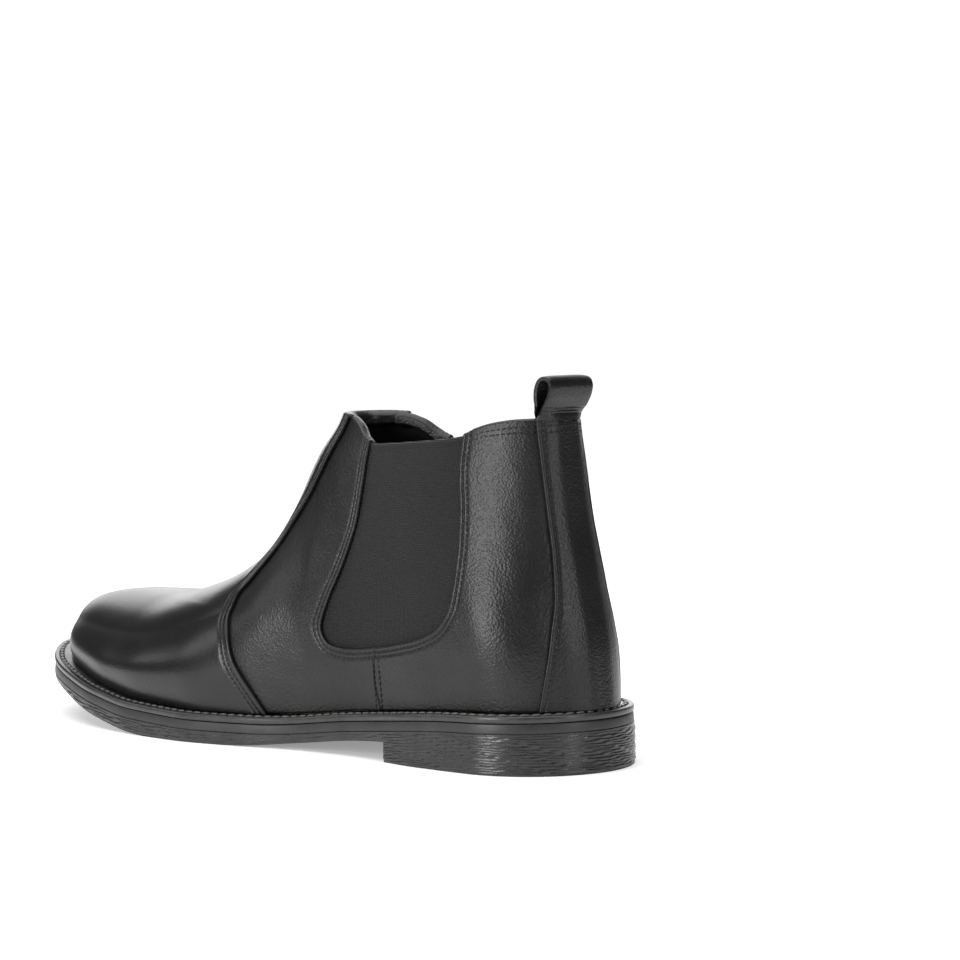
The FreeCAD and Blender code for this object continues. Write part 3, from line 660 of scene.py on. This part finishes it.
def lining(name, node_name, start, end, levels, columns, depth):
    """Lining between two lines of turns, its top tucked in behind the collar."""
    level = levels[:, None]
    turn = start[:, None] + (end - start)[:, None] * np.linspace(0, 1, columns)[None, :]
    normals = outward(turn, level)
    points = skin(turn, level) - normals * depth
    x, y, z = np.moveaxis(points, -1, 0)
    ripple = 0.22 * np.sin(z * 0.9 + x * 0.35) * np.sin(y * 0.21 + 1.0) * np.clip((level - 0.55) * 5, 0, 1)
    points = points - normals * ripple[..., None]
    piece = sheet_mesh(name, points, towards=away_from_foot)
    add_solidify(piece, LINING_THICKNESS)
    fitted(piece, LINING, "lining_leather", node_name)


def linings():
    front_line = smooth_through(FRONT_LINING_EDGE)
    heel_line = smooth_through(HEEL_LINING_EDGE)
    behind = smooth_through([(z, x + 0.6) for z, x in HEEL_LINING_EDGE])
    tall = 0.003 + 0.984 * np.linspace(0, 1, 110)
    front = turn_on_line(front_line, tall)
    heel = turn_on_line(heel_line, tall)
    lining("front_lining", "vamp_lining", front, 2 * math.pi - front, tall, 150, FRONT_LINING_DEPTH)
    lining("heel_lining_leather", "heel_lining", -heel, heel, tall, 90, HEEL_LINING_DEPTH)
    low = 0.003 + (SIDE_LINING_TOP - 0.003) * np.linspace(0, 1, 16)
    for side, word in ((1, "outer"), (-1, "inner")):
        start = side * turn_on_line(behind, low)
        end = side * turn_on_line(lambda z: np.full_like(z, SIDE_LINING_FRONT), low)
        lining("low_lining_" + word, "side_lining_" + word, start, end, low, 40, HEEL_LINING_DEPTH)


linings()

# ------------------------------------------------------------------ elastic gores
# Charcoal elastic web, let in on each side of the shaft so that it stretches over the heel. Rubber
# threads make fine upright ribs, held by close cross threads; the top is turned over as a round hem.
GORE_OUTLINE = [(98.0, 134.0), (97.7, 104.0), (98.8, 88.0), (104.0, 70.3), (111.2, 54.5), (113.8, 46.0),
                (109.8, 39.8), (100.5, 38.6), (86.2, 40.1), (73.9, 42.2), (60.8, 45.3), (51.0, 50.8),
                (46.6, 60.0), (46.0, 75.0), (47.4, 90.0), (49.6, 108.0), (49.8, 134.0)]
GORE_DEPTH = 3.2
GORE_THICKNESS = 1.05
WEB_BACK_EDGE = [(34, 41.0), (60, 41.6), (75, 41.0), (90, 42.4), (108, 44.6), (134, 44.8)]
WEB_FRONT_EDGE = [(34, 118.0), (46, 118.8), (54.5, 116.2), (70.3, 109.0), (88, 103.8), (104, 102.7),
                  (134, 103.0)]
WEB_BOTTOM = 35.0
WEB_DROP = 0.5
BELLY = 0.25
RIB_WIDTH = 0.75
RIB_RISE = 0.11
HEM_HEIGHT = 2.0
HEM_RISE = 0.45
CROSS_THREAD_WIDTH = 0.62


def side_point(x, z, side):
    return np.stack([x, side * upper_half(x, z, side), z], axis=-1)


def side_normal(x, z, side):
    """Unit outward normals on one side of the boot."""
    around = side_point(x + 0.5, z, side) - side_point(x - 0.5, z, side)
    up = side_point(x, z + 0.5, side) - side_point(x, z - 0.5, side)
    return unit(np.cross(up, around) * side)


def web():
    """Elastic web: matt textile ribs crossed by fine threads; its colour has painted shade, darker in the
    grooves between the ribs and between the cross threads, with random tone.
    """
    material, tree, shader = new_material("elastic_web", (0.03, 0.03, 0.03), 0.78, Sheen_Weight=0.15,
                                          Sheen_Roughness=0.4, Specular_IOR_Level=0.3)
    place = node(tree, "ShaderNodeTexCoord").outputs["Object"]
    parts = node(tree, "ShaderNodeSeparateXYZ", [(0, place)])
    waves = []
    for axis, width in (("X", RIB_WIDTH), ("Z", CROSS_THREAD_WIDTH)):
        angle = mix_value(tree, "MULTIPLY", parts.outputs[axis], 2000 * math.pi / width)
        waves.append(mix_value(tree, "SINE", angle, 0))
    # Painted shade: the rib and cross-thread waves darken the base colour in the grooves between them; the
    # noise adds random tone.
    upright, cross = [mix_value(tree, "MULTIPLY", wave, 0.2) for wave in waves]
    uneven = mix_value(tree, "MULTIPLY", noise(tree, 700, 3), 0.4)
    weave_tone_and_groove_shade = mix_value(tree, "ADD", mix_value(tree, "ADD", upright, cross), uneven)
    weave_tone_and_groove_shade = mix_value(tree, "ADD", weave_tone_and_groove_shade, 0.3)
    two_tones(tree, shader, weave_tone_and_groove_shade, (0.003, 0.003, 0.0032), (0.017, 0.017, 0.0176), 0.15, 0.85)
    relief(tree, shader, waves[1], 0.00010, 0.9)
    relief(tree, shader, noise(tree, 3000, 3), 0.00004, 0.6)
    return material


WEB = web()


def gore(side, word):
    """Web of one side: a ribbed outer face, a flat inner face, and a round hem along the top."""
    across = np.arange(40.5, 119.0, RIB_WIDTH / 5)
    top = collar_height(np.clip(across, 44.8, 102.9)) - WEB_DROP
    z = WEB_BOTTOM + (top - WEB_BOTTOM) * np.linspace(0, 1, 84)[:, None]
    x = np.clip(across, smooth_through(WEB_BACK_EDGE)(z), smooth_through(WEB_FRONT_EDGE)(z))
    ribs = RIB_RISE * np.abs(np.sin(math.pi * x / RIB_WIDTH)) ** 0.8
    below_top = collar_height(x) - WEB_DROP - z
    hem = HEM_RISE * np.sqrt(1 - (np.clip(below_top, 0, HEM_HEIGHT) / HEM_HEIGHT * 2 - 1) ** 2)
    belly = BELLY * np.sin((z - WEB_BOTTOM) / 80 * math.pi) * np.sin((x - 45) / 58 * math.pi)
    depth = -GORE_DEPTH + ribs * np.clip(below_top / 1.5, 0.25, 1) + hem - belly
    normals = side_normal(x, z, side)
    points = side_point(x, z, side) + normals * depth[..., None]
    inside = side_point(x, z, side) - normals * (GORE_DEPTH + GORE_THICKNESS + belly)[..., None]
    both_faces = np.concatenate([points, inside[::-1]])
    piece = sheet_mesh("elastic_gore_" + word, both_faces, closed_rows=True, fill=True)
    fitted(piece, WEB, "elastic_web", "gore_" + word)


gore(1, "outer")
gore(-1, "inner")

# ------------------------------------------------------------------ quarters
# Side leathers, cut round the gore and joined by a short seam under it. Their edges are skived and
# folded, and sewn to the web with a double row; along the collar the leather is turned over the top.
VAMP_EDGE = [(10, 138.0), (20.5, 144.0), (31.5, 150.8), (41.5, 155.0), (50, 159.6), (55, 160.0), (63, 155.0),
             (72, 148.6), (82, 142.0), (95, 130.8), (109, 122.0), (120, 116.0), (130, 111.5)]
BACKSTAY_HALF_WIDTHS = [(16, 22.0), (28, 20.6), (47, 17.2), (62, 13.8), (88, 11.7), (125, 11.4)]
SIDE_SEAM = 86.5
QUARTER_DEPTH = 1.7
QUARTER_LIP = 1.3
NEAR_ROW = 1.7
FAR_ROW = 3.3
STITCH_PITCH = 2.1
STITCH_LENGTH = 1.7
STITCH_THICK = 0.72
FAR_AWAY = 30.0
FOLD_RADIUS = 0.45
WALL = 0.5
TOP_LEVEL = 0.994
LOW_LEVEL = 0.003
UNDER_VAMP = 5.0
UNDER_STAY = 7.0
COLLAR_ROWS = (2.0, 3.7)
SEAM_HALF_GAP = 1.5
QUARTER_TURN = (2.1, 1.1, 3.0)
EDGE_ROWS = 150
EDGE_STEPS = [0.0, 0.55, 0.95, 1.3, 1.5, 1.7, 1.9, 2.2, 2.65, 3.0, 3.3, 3.6, 4.0, 4.8]

UPPER_LEATHER = grained_leather("upper_leather", (0.004, 0.004, 0.0042), (0.010, 0.010, 0.0104), 0.36, 0.9,
                                1300)
UPPER_THREAD = thread("black_thread", 0.003, 0.5)


def place_of(x, z):
    """Turn and level, on the outer side, of points given in the side view."""
    x = np.asarray(x, float)
    z = np.asarray(z, float)
    low = np.zeros_like(x)
    high = np.ones_like(x)
    for _ in range(40):
        level = (low + high) / 2
        back_x, _, front_x, _ = ring_ends(level)
        share = np.clip((x - back_x) / (front_x - back_x), 0, 1)
        under = ring_height(share, level) < z
        low = np.where(under, level, low)
        high = np.where(under, high, level)
    return np.stack([np.arccos(1 - 2 * share), level], axis=-1)


def evenly(points, count):
    """Run of points set at even distances along the run they make."""
    walked = walked_along(points)
    return read_along(np.linspace(0, walked[-1], count), walked, points)


def net_from_edge(edge, far, steps, rest):
    """Places from an edge at the given true distances, and then evenly on to the far line."""
    fine = np.linspace(0, 1, 240) ** 1.6
    places = edge[:, None] + (far - edge)[:, None] * fine[None, :, None]
    points = skin(places[..., 0], places[..., 1])
    walked = np.cumsum(np.linalg.norm(np.diff(points, axis=1), axis=-1), axis=1)
    walked = np.concatenate([np.zeros((len(edge), 1)), walked], axis=1)
    along = unit(np.gradient(points[:, 0], axis=0))
    slant = np.linalg.norm(np.cross(along, unit(points[:, 3] - points[:, 0])), axis=1)
    slant = np.convolve(np.pad(slant, 3, mode="edge"), np.ones(7) / 7, mode="valid")
    rows = []
    for i in range(len(edge)):
        near = np.array(steps) / max(slant[i], 0.55)
        near = near * min(1, 0.8 * walked[i, -1] / near[-1])
        at = np.concatenate([near, np.linspace(near[-1], walked[i, -1], rest + 1)[1:]])
        share = np.interp(at, walked[i], fine)
        rows.append(edge[i] + (far[i] - edge[i]) * share[:, None])
    return np.array(rows)


def seam_dents(distance, rows, width=0.42, depth=0.32):
    """Fall of the leather under its stitch rows, and its rounding towards a folded edge."""
    fall = sum(-depth * np.exp(-((distance - row) / width) ** 2) for row in rows)
    return fall + 0.10 * np.exp(-((distance - 0.8) / 0.5) ** 2)


def with_lip(points, normals, reach):
    """First column folded down: a rounded edge, and a lip that reaches the layer below."""
    into = unit(points[:, 1] - points[:, 0])
    up = unit(normals[:, 0])
    centre = points[:, 0] + (into - up) * FOLD_RADIUS
    columns = [centre - into * FOLD_RADIUS - up * (reach - FOLD_RADIUS)]
    for angle in (0, 0.45, 0.85, 1.25):
        columns.append(centre + (up * math.sin(angle) - into * math.cos(angle)) * FOLD_RADIUS)
    return np.concatenate([np.stack(columns, axis=1), points[:, 1:]], axis=1)


def soft_folds(points):
    """Slow swelling of lasted leather, a few hundredths to a few tenths of a millimetre."""
    x, y, z = points[..., 0], points[..., 1], points[..., 2]
    slow = 0.16 * np.sin(x / 9.0 + z / 13.0) * np.sin(z / 8.0 - x / 21.0 + y / 15)
    quick = 0.05 * np.sin(x / 3.1 - z / 2.4 + y / 4) * np.sin(x / 4.3 + z / 5.1)
    return slow + quick


def turned_over(points, normals, radius, rise, drop):
    """Rows that carry an edge row over the top and down inside, each with its own normals."""
    up = np.array([0, 0, 1.0])
    rows = []
    row_normals = []
    for angle in np.linspace(0, math.pi, 10)[1:]:
        rows.append(points + normals * radius * (math.cos(angle) - 1) + up * rise * math.sin(angle))
        row_normals.append(normals * math.cos(angle) + up * math.sin(angle))
    for down in np.linspace(0, drop, 4)[1:]:
        rows.append(points - normals * 2 * radius - up * down)
        row_normals.append(-normals)
    return rows, row_normals


def quarter(side, word, end_word, edge, far, collar_first):
    """One side leather from its gore edge to a far line, with its collar turned over."""
    places = net_from_edge(edge, far, EDGE_STEPS, 34)
    turn = places[..., 0] * side
    level = places[..., 1]
    normals = outward(turn, level)
    points = skin(turn, level)
    distance = np.full(points.shape[:2], FAR_AWAY)
    distance[:, :len(EDGE_STEPS)] = EDGE_STEPS
    lift = seam_dents(distance, (NEAR_ROW, FAR_ROW)) + soft_folds(points)
    points = points + normals * (lift - QUARTER_DEPTH)[..., None]
    row = 0 if collar_first else -1
    over, over_normals = turned_over(points[row], normals[row], *QUARTER_TURN)
    if collar_first:
        full = np.array([*over[::-1], *points])
        full_normals = np.array([*over_normals[::-1], *normals])
    else:
        full = np.array([*points, *over])
        full_normals = np.array([*normals, *over_normals])
    full = with_lip(full, full_normals, QUARTER_LIP)
    piece = sheet_mesh(f"quarter_{end_word}_{word}_leather", full, towards=away_from_foot)
    add_solidify(piece, WALL)
    fitted(piece, UPPER_LEATHER, "upper_leather", f"quarter_{end_word}_{word}")
    return points, normals


def sew(name, runs):
    """Stitches along runs of (points, normals), pulled half into the leather."""
    bm = bmesh.new()
    for path, normals in runs:
        at, centres, along = spaced(path, STITCH_PITCH)
        ups = read_along(at, walked_along(path), normals)
        for centre, ahead, up in zip(centres, along, ups):
            add_stitch(bm, centre, ahead, up, STITCH_LENGTH, STITCH_THICK)
    fitted(finished(name, bm), UPPER_THREAD, "waxed_thread")


def match_run(places, count):
    """Far line in turn and level, spaced by its true length on the surface."""
    walked = walked_along(skin(places[:, 0], places[:, 1]))
    return read_along(np.linspace(0, walked[-1], count), walked, places)


def heel_turns(half, level):
    """Turn, near the heel centre, where the surface is a half width from the middle plane."""
    low = np.zeros_like(level)
    high = np.full_like(level, 1.2)
    target = half(ring_ends(level)[1])
    for _ in range(40):
        turn = (low + high) / 2
        short = skin(turn, level)[..., 1] < target
        low = np.where(short, turn, low)
        high = np.where(short, high, turn)
    return turn


def seat_run(start, end):
    """Run of places along the seat, between two turns."""
    return np.stack([np.linspace(start, end, 60), np.full(60, LOW_LEVEL)], axis=1)


def quarters():
    """Both quarters of both sides, and all their stitch rows."""
    vamp_line = smooth_through(VAMP_EDGE)
    stay = smooth_through(BACKSTAY_HALF_WIDTHS)
    fine = np.linspace(0, len(GORE_OUTLINE) - 1, 900)
    gore_x, gore_z = [smooth_through(list(enumerate(values)))(fine) for values in zip(*GORE_OUTLINE)]
    opening = np.column_stack([gore_x, gore_z])[gore_z <= collar_height(gore_x) - 0.6]
    lowest = np.argmin(np.abs(opening[:, 0] - SIDE_SEAM) + 99 * (opening[:, 1] > 60))
    front_half = opening[:lowest + 1]
    back_half = opening[lowest:]
    rising = np.linspace(LOW_LEVEL, TOP_LEVEL, 120)
    seam_turn = place_of(SIDE_SEAM, seat(SIDE_SEAM))[0]
    # front leather: under the vamp from the collar down, then back along the seat to the side seam
    under_vamp = turn_on_line(lambda z: vamp_line(z) + UNDER_VAMP, rising[::-1])
    down = np.stack([under_vamp, rising[::-1]], axis=1)
    front_far = match_run(np.concatenate([down, seat_run(under_vamp[-1], seam_turn)[1:]]), EDGE_ROWS)
    # back leather: back along the seat from the side seam, then up under the backstay to the collar
    under_stay = heel_turns(lambda z: stay(z) - UNDER_STAY, rising)
    up = np.stack([under_stay, rising], axis=1)
    back_far = match_run(np.concatenate([seat_run(seam_turn, under_stay[0]), up[1:]]), EDGE_ROWS)
    front_edge = place_of(*evenly(front_half, EDGE_ROWS).T)
    back_edge = place_of(*evenly(back_half, EDGE_ROWS).T)
    for side, word in ((1, "outer"), (-1, "inner")):
        leathers = [quarter(side, word, "front", front_edge, front_far, True),
                    quarter(side, word, "back", back_edge, back_far, False)]
        runs = []
        for points, normals in leathers:
            for distance in (NEAR_ROW, FAR_ROW):
                column = EDGE_STEPS.index(distance)
                runs.append((points[:, column], normals[:, column]))
        for drop in COLLAR_ROWS:
            turns = np.linspace(heel_turns(stay, np.array([0.97]))[0], place_of(46.5, 118.0)[0], 60) * side
            level = TOP_LEVEL - drop / 101
            normals = outward(turns, level)
            runs.append((skin(turns, level) - normals * QUARTER_DEPTH, normals))
        for gap in (-SEAM_HALF_GAP, SEAM_HALF_GAP):
            z = np.linspace(seat(SIDE_SEAM) + 1.0, 36.5, 40)
            x = np.full(40, SIDE_SEAM + gap)
            normals = side_normal(x, z, side)
            runs.append((side_point(x, z, side) - normals * (QUARTER_DEPTH - 0.12), normals))
        sew("quarter_stitching_" + word, runs)


quarters()

# ------------------------------------------------------------------ vamp
# Front leather in one piece: toe, instep and a narrow strip up to the collar. It is lasted smooth and
# polished; its side edges lie over the quarters, folded and held by a double row of stitches.
TOP_LIP = 1.55
VAMP_TURN = (2.3, 1.3, 3.0)
VAMP_ROWS = (2.3, 4.0)
VAMP_STEPS = [0.0, 0.55, 1.0, 1.5, 1.9, 2.1, 2.3, 2.5, 2.8, 3.3, 3.7, 4.0, 4.3, 4.8, 5.8]


def lasted_net(name, half_turns, centre_turn, levels, steps, rest, rows, shape, over):
    """Leather mirrored about the middle plane: both halves run from their edge to the centre line."""
    edge = np.stack([half_turns, levels], axis=1)
    far = np.stack([np.full(len(levels), centre_turn), levels], axis=1)
    places = net_from_edge(edge, far, steps, rest)
    halves = []
    for side in (1, -1):
        turn = places[..., 0] * side
        level = places[..., 1]
        points = skin(turn, level)
        normals = outward(turn, level)
        distance = np.full(points.shape[:2], FAR_AWAY)
        distance[:, :len(steps)] = steps
        lift = seam_dents(distance, rows) + shape(points)
        halves.append((points + normals * lift[..., None], normals))
    points = np.concatenate([halves[0][0], halves[1][0][:, -2::-1]], axis=1)
    normals = np.concatenate([halves[0][1], halves[1][1][:, -2::-1]], axis=1)
    points[:, rest + len(steps) - 1, 1] = 0
    full = points
    full_normals = normals
    if over:
        added, added_normals = turned_over(points[-1], normals[-1], *over)
        full = np.concatenate([points, added], axis=0)
        full_normals = np.concatenate([normals, added_normals], axis=0)
    full = with_lip(full, full_normals, TOP_LIP)
    full = with_lip(full[:, ::-1], full_normals[:, ::-1], TOP_LIP)[:, ::-1]
    return sheet_mesh(name, full, towards=away_from_foot), points, normals


def toe_leather():
    return grained_leather("polished_toe_leather", (0.003, 0.003, 0.0032), (0.007, 0.007, 0.0073), 0.30,
                           0.40, 1500, coat=0.08, crease=0.2)


def vamp():
    levels = 0.0015 + 0.9925 * np.linspace(0, 1, 170) ** 1.15
    turns = turn_on_line(smooth_through(VAMP_EDGE), levels)
    piece, points, normals = lasted_net("vamp_leather", turns, math.pi, levels, VAMP_STEPS, 60, VAMP_ROWS,
                                        lambda p: 0.12 * soft_folds(p), VAMP_TURN)
    add_solidify(piece, WALL)
    fitted(piece, toe_leather(), "toe_leather", "vamp")
    runs = []
    for row in VAMP_ROWS:
        column = VAMP_STEPS.index(row)
        for place in (column, points.shape[1] - 1 - column):
            runs.append((points[:len(levels), place], normals[:, place]))
    sew("vamp_stitching", runs)


vamp()

# ------------------------------------------------------------------ backstay
# Strip over the heel seam, wide at the sole and narrow at the collar, folded at both edges and sewn
# down with one row along each. The seam under it leaves a shallow valley down its middle.
STAY_STEPS = [0.0, 0.55, 0.9, 1.3, 1.6, 1.9, 2.2, 2.6, 3.2]
STAY_ROW = 1.9


def valley(points):
    """Dip of the strip over the seam, between two low swells."""
    half = np.abs(points[..., 1])
    swells = 0.22 * np.exp(-((half - 5.0) / 2.2) ** 2)
    return swells - 0.28 * np.exp(-(half / 2.2) ** 2) + 0.3 * soft_folds(points)


def backstay():
    levels = np.linspace(0.002, 0.992, 130)
    turns = heel_turns(smooth_through(BACKSTAY_HALF_WIDTHS), levels)
    piece, points, normals = lasted_net("backstay_leather", turns, 0.0, levels, STAY_STEPS, 16, (STAY_ROW,),
                                        valley, None)
    add_solidify(piece, WALL)
    fitted(piece, UPPER_LEATHER, "upper_leather", "backstay")
    column = STAY_STEPS.index(STAY_ROW)
    runs = [(points[:, place], normals[:, place]) for place in (column, points.shape[1] - 1 - column)]
    for row in (-3, -6):
        runs.append((points[row, 4:-4], normals[row, 4:-4]))
    sew("backstay_stitching", runs)


backstay()

# ------------------------------------------------------------------ pull tab
# The backstay's strip runs on as a folded loop of soft leather, sewn down outside and inside the collar.
# Its neck is drawn together and wrinkled; the crown is a soft roll, and the loop folds where it leaves
# the collar.
TAB_HALF_WIDTH = 11.4
TAB_THICKNESS = 1.3
TAB_LEAN = 0.16
TAB_PATH = [(-0.7, -1.2), (-0.8, 0.4), (-1.3, 2.0), (-1.3, 3.6), (-0.4, 5.8), (0.7, 8.4), (1.0, 10.8),
            (0.2, 13.0), (-1.4, 14.2), (-3.2, 14.5), (-5.0, 13.8), (-6.2, 12.0), (-6.6, 9.6), (-6.3, 7.0),
            (-5.7, 4.8), (-5.7, 3.0), (-6.6, 1.4), (-6.9, -0.6), (-6.8, -4.5), (-6.8, -14.5)]
NECK_HEIGHT = 2.6


def pull_tab():
    knots = np.array(TAB_PATH)
    run = walked_along(knots)
    at = np.arange(0, run[-1], 0.3)
    path = np.stack([smooth_through(list(zip(run, knots[:, k])))(at) for k in range(2)], axis=1)
    ahead = unit(np.gradient(path, axis=0))
    off = np.stack([ahead[:, 1], -ahead[:, 0]], axis=1)
    ruck = 0.16 * np.sin(at * 2 * math.pi / 1.1) * np.exp(-((path[:, 1] - NECK_HEIGHT) / 1.5) ** 2)
    across = np.linspace(-1, 1, 31)
    turns = heel_turns(lambda z: np.full_like(z, TAB_HALF_WIDTH), np.array([1.0]))[0] * across
    base = skin(turns, 1)
    flat = unit(outward(turns, 1) * (1, 1, 0))
    backward = np.array([-1.0, 0, 0])
    rows = []
    for (depth, height), (side_depth, side_height), wrinkle in zip(path, off, ruck):
        shift = wrinkle * (0.6 + 0.4 * np.sin(across * 5 + height))
        curl = 0.35 * across ** 4 * np.clip(height / 8, 0, 1)
        d = depth + side_depth * (shift - curl)
        h = height + side_height * (shift - curl)
        even = min(max((height + 0.5) / 5.0, 0), 1)
        foot = base.copy()
        foot[:, 0] += even * (base[:, 0].min() + 0.8 - base[:, 0])
        place = foot + unit((1 - even) * flat + even * backward) * d[:, None]
        place[:, 1] *= 1 - 0.06 * even - 0.03 * math.exp(-((height - NECK_HEIGHT) / 2.5) ** 2)
        place[:, 0] -= TAB_LEAN * np.maximum(h, 0)
        place[:, 2] += h
        rows.append(place)
    strip = sheet_mesh("pull_tab_strip", np.array(rows), towards=lambda p: Vector(backward))
    add_solidify(strip, TAB_THICKNESS, 0.0)
    edge = strip.modifiers.new("edge", "BEVEL")
    edge.width = 0.00045
    edge.segments = 3
    edge.limit_method = "ANGLE"
    edge.angle_limit = math.radians(55)
    strip.data.materials.append(UPPER_LEATHER)
    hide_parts("pull_tab", "pull_tab_tail")
    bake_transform(strip)


pull_tab()

# ------------------------------------------------------------------ floor, light and camera
# Plain white floor and soft studio light. A large panel hangs overhead and another stands behind the
# boot; three small ones stand at its outer side, off the toe and off the heel, for the highlights.
FLOOR_REACH = 1.25


def white_floor():
    bm = bmesh.new()
    bmesh.ops.create_grid(bm, x_segments=1, y_segments=1, size=FLOOR_REACH)
    floor = finished("studio_floor", bm)
    material, tree, shader = new_material("white_floor", (0.9, 0.9, 0.9), 0.75, Emission_Color=(1, 1, 1, 1),
                                          Emission_Strength=0.28)
    two_tones(tree, shader, noise(tree, 3, 2), (0.88, 0.88, 0.88), (0.91, 0.91, 0.91))
    floor.data.materials.append(material)


def panel(name, place, target, size, power):
    light = bpy.data.lights.new(name, "AREA")
    light.shape = "RECTANGLE"
    light.size, light.size_y = size
    light.energy = power
    lamp = bpy.data.objects.new(name, light)
    lamp.location = place
    lamp.visible_camera = False
    lamp.rotation_euler = (Vector(target) - Vector(place)).to_track_quat("-Z", "Y").to_euler()
    bpy.context.scene.collection.objects.link(lamp)


def studio():
    bpy.context.scene.view_settings.view_transform = "Standard"
    world = bpy.data.worlds.new("studio_air")
    world.use_nodes = True
    tree = world.node_tree
    room = tree.nodes["Background"]
    room.inputs["Color"].default_value = (1.0, 1.0, 1.0, 1)
    room.inputs["Strength"].default_value = 0.08
    paper = node(tree, "ShaderNodeBackground", [("Color", (1, 1, 1, 1)), ("Strength", 1.05)])
    seen = node(tree, "ShaderNodeLightPath").outputs["Is Camera Ray"]
    both = node(tree, "ShaderNodeMixShader", [(0, seen), (1, room.outputs[0]), (2, paper.outputs[0])])
    tree.links.new(both.outputs[0], tree.nodes["World Output"].inputs["Surface"])
    bpy.context.scene.world = world
    panel("top_panel", (0.05, 0.1, 1.5), (0, 0, 0), (2.4, 2.0), 34)
    panel("back_panel", (1.0, -1.2, 0.55), (0, 0, 0.08), (1.8, 0.9), 11)
    panel("side_panel", (0.05, 1.3, 0.42), (-0.05, 0, 0.07), (0.5, 0.6), 11)
    panel("toe_panel", (1.2, 1.0, 0.8), (0.08, 0, 0.05), (0.9, 0.5), 3)
    panel("heel_panel", (-1.3, 0.1, 0.45), (-0.12, 0, 0.06), (0.25, 0.6), 3)


def camera():
    """Camera low behind the boot's outer side, a long lens, held very slightly askew."""
    lens = bpy.data.cameras.new("boot_camera")
    lens.lens = 116.25
    lens.sensor_width = 36.0
    view = bpy.data.objects.new("boot_camera", lens)
    back = -Vector((0.7039, -0.7079, -0.0598)).normalized()
    right = Vector((-0.7098, -0.7044, -0.0134))
    up = back.cross(right).normalized()
    right = up.cross(back).normalized()
    turn = Matrix((right, up, back)).transposed().to_4x4()
    view.matrix_world = Matrix.Translation((-0.8776, 0.7936, 0.1672)) @ turn
    bpy.context.scene.collection.objects.link(view)
    bpy.context.scene.camera = view


white_floor()
studio()
camera()
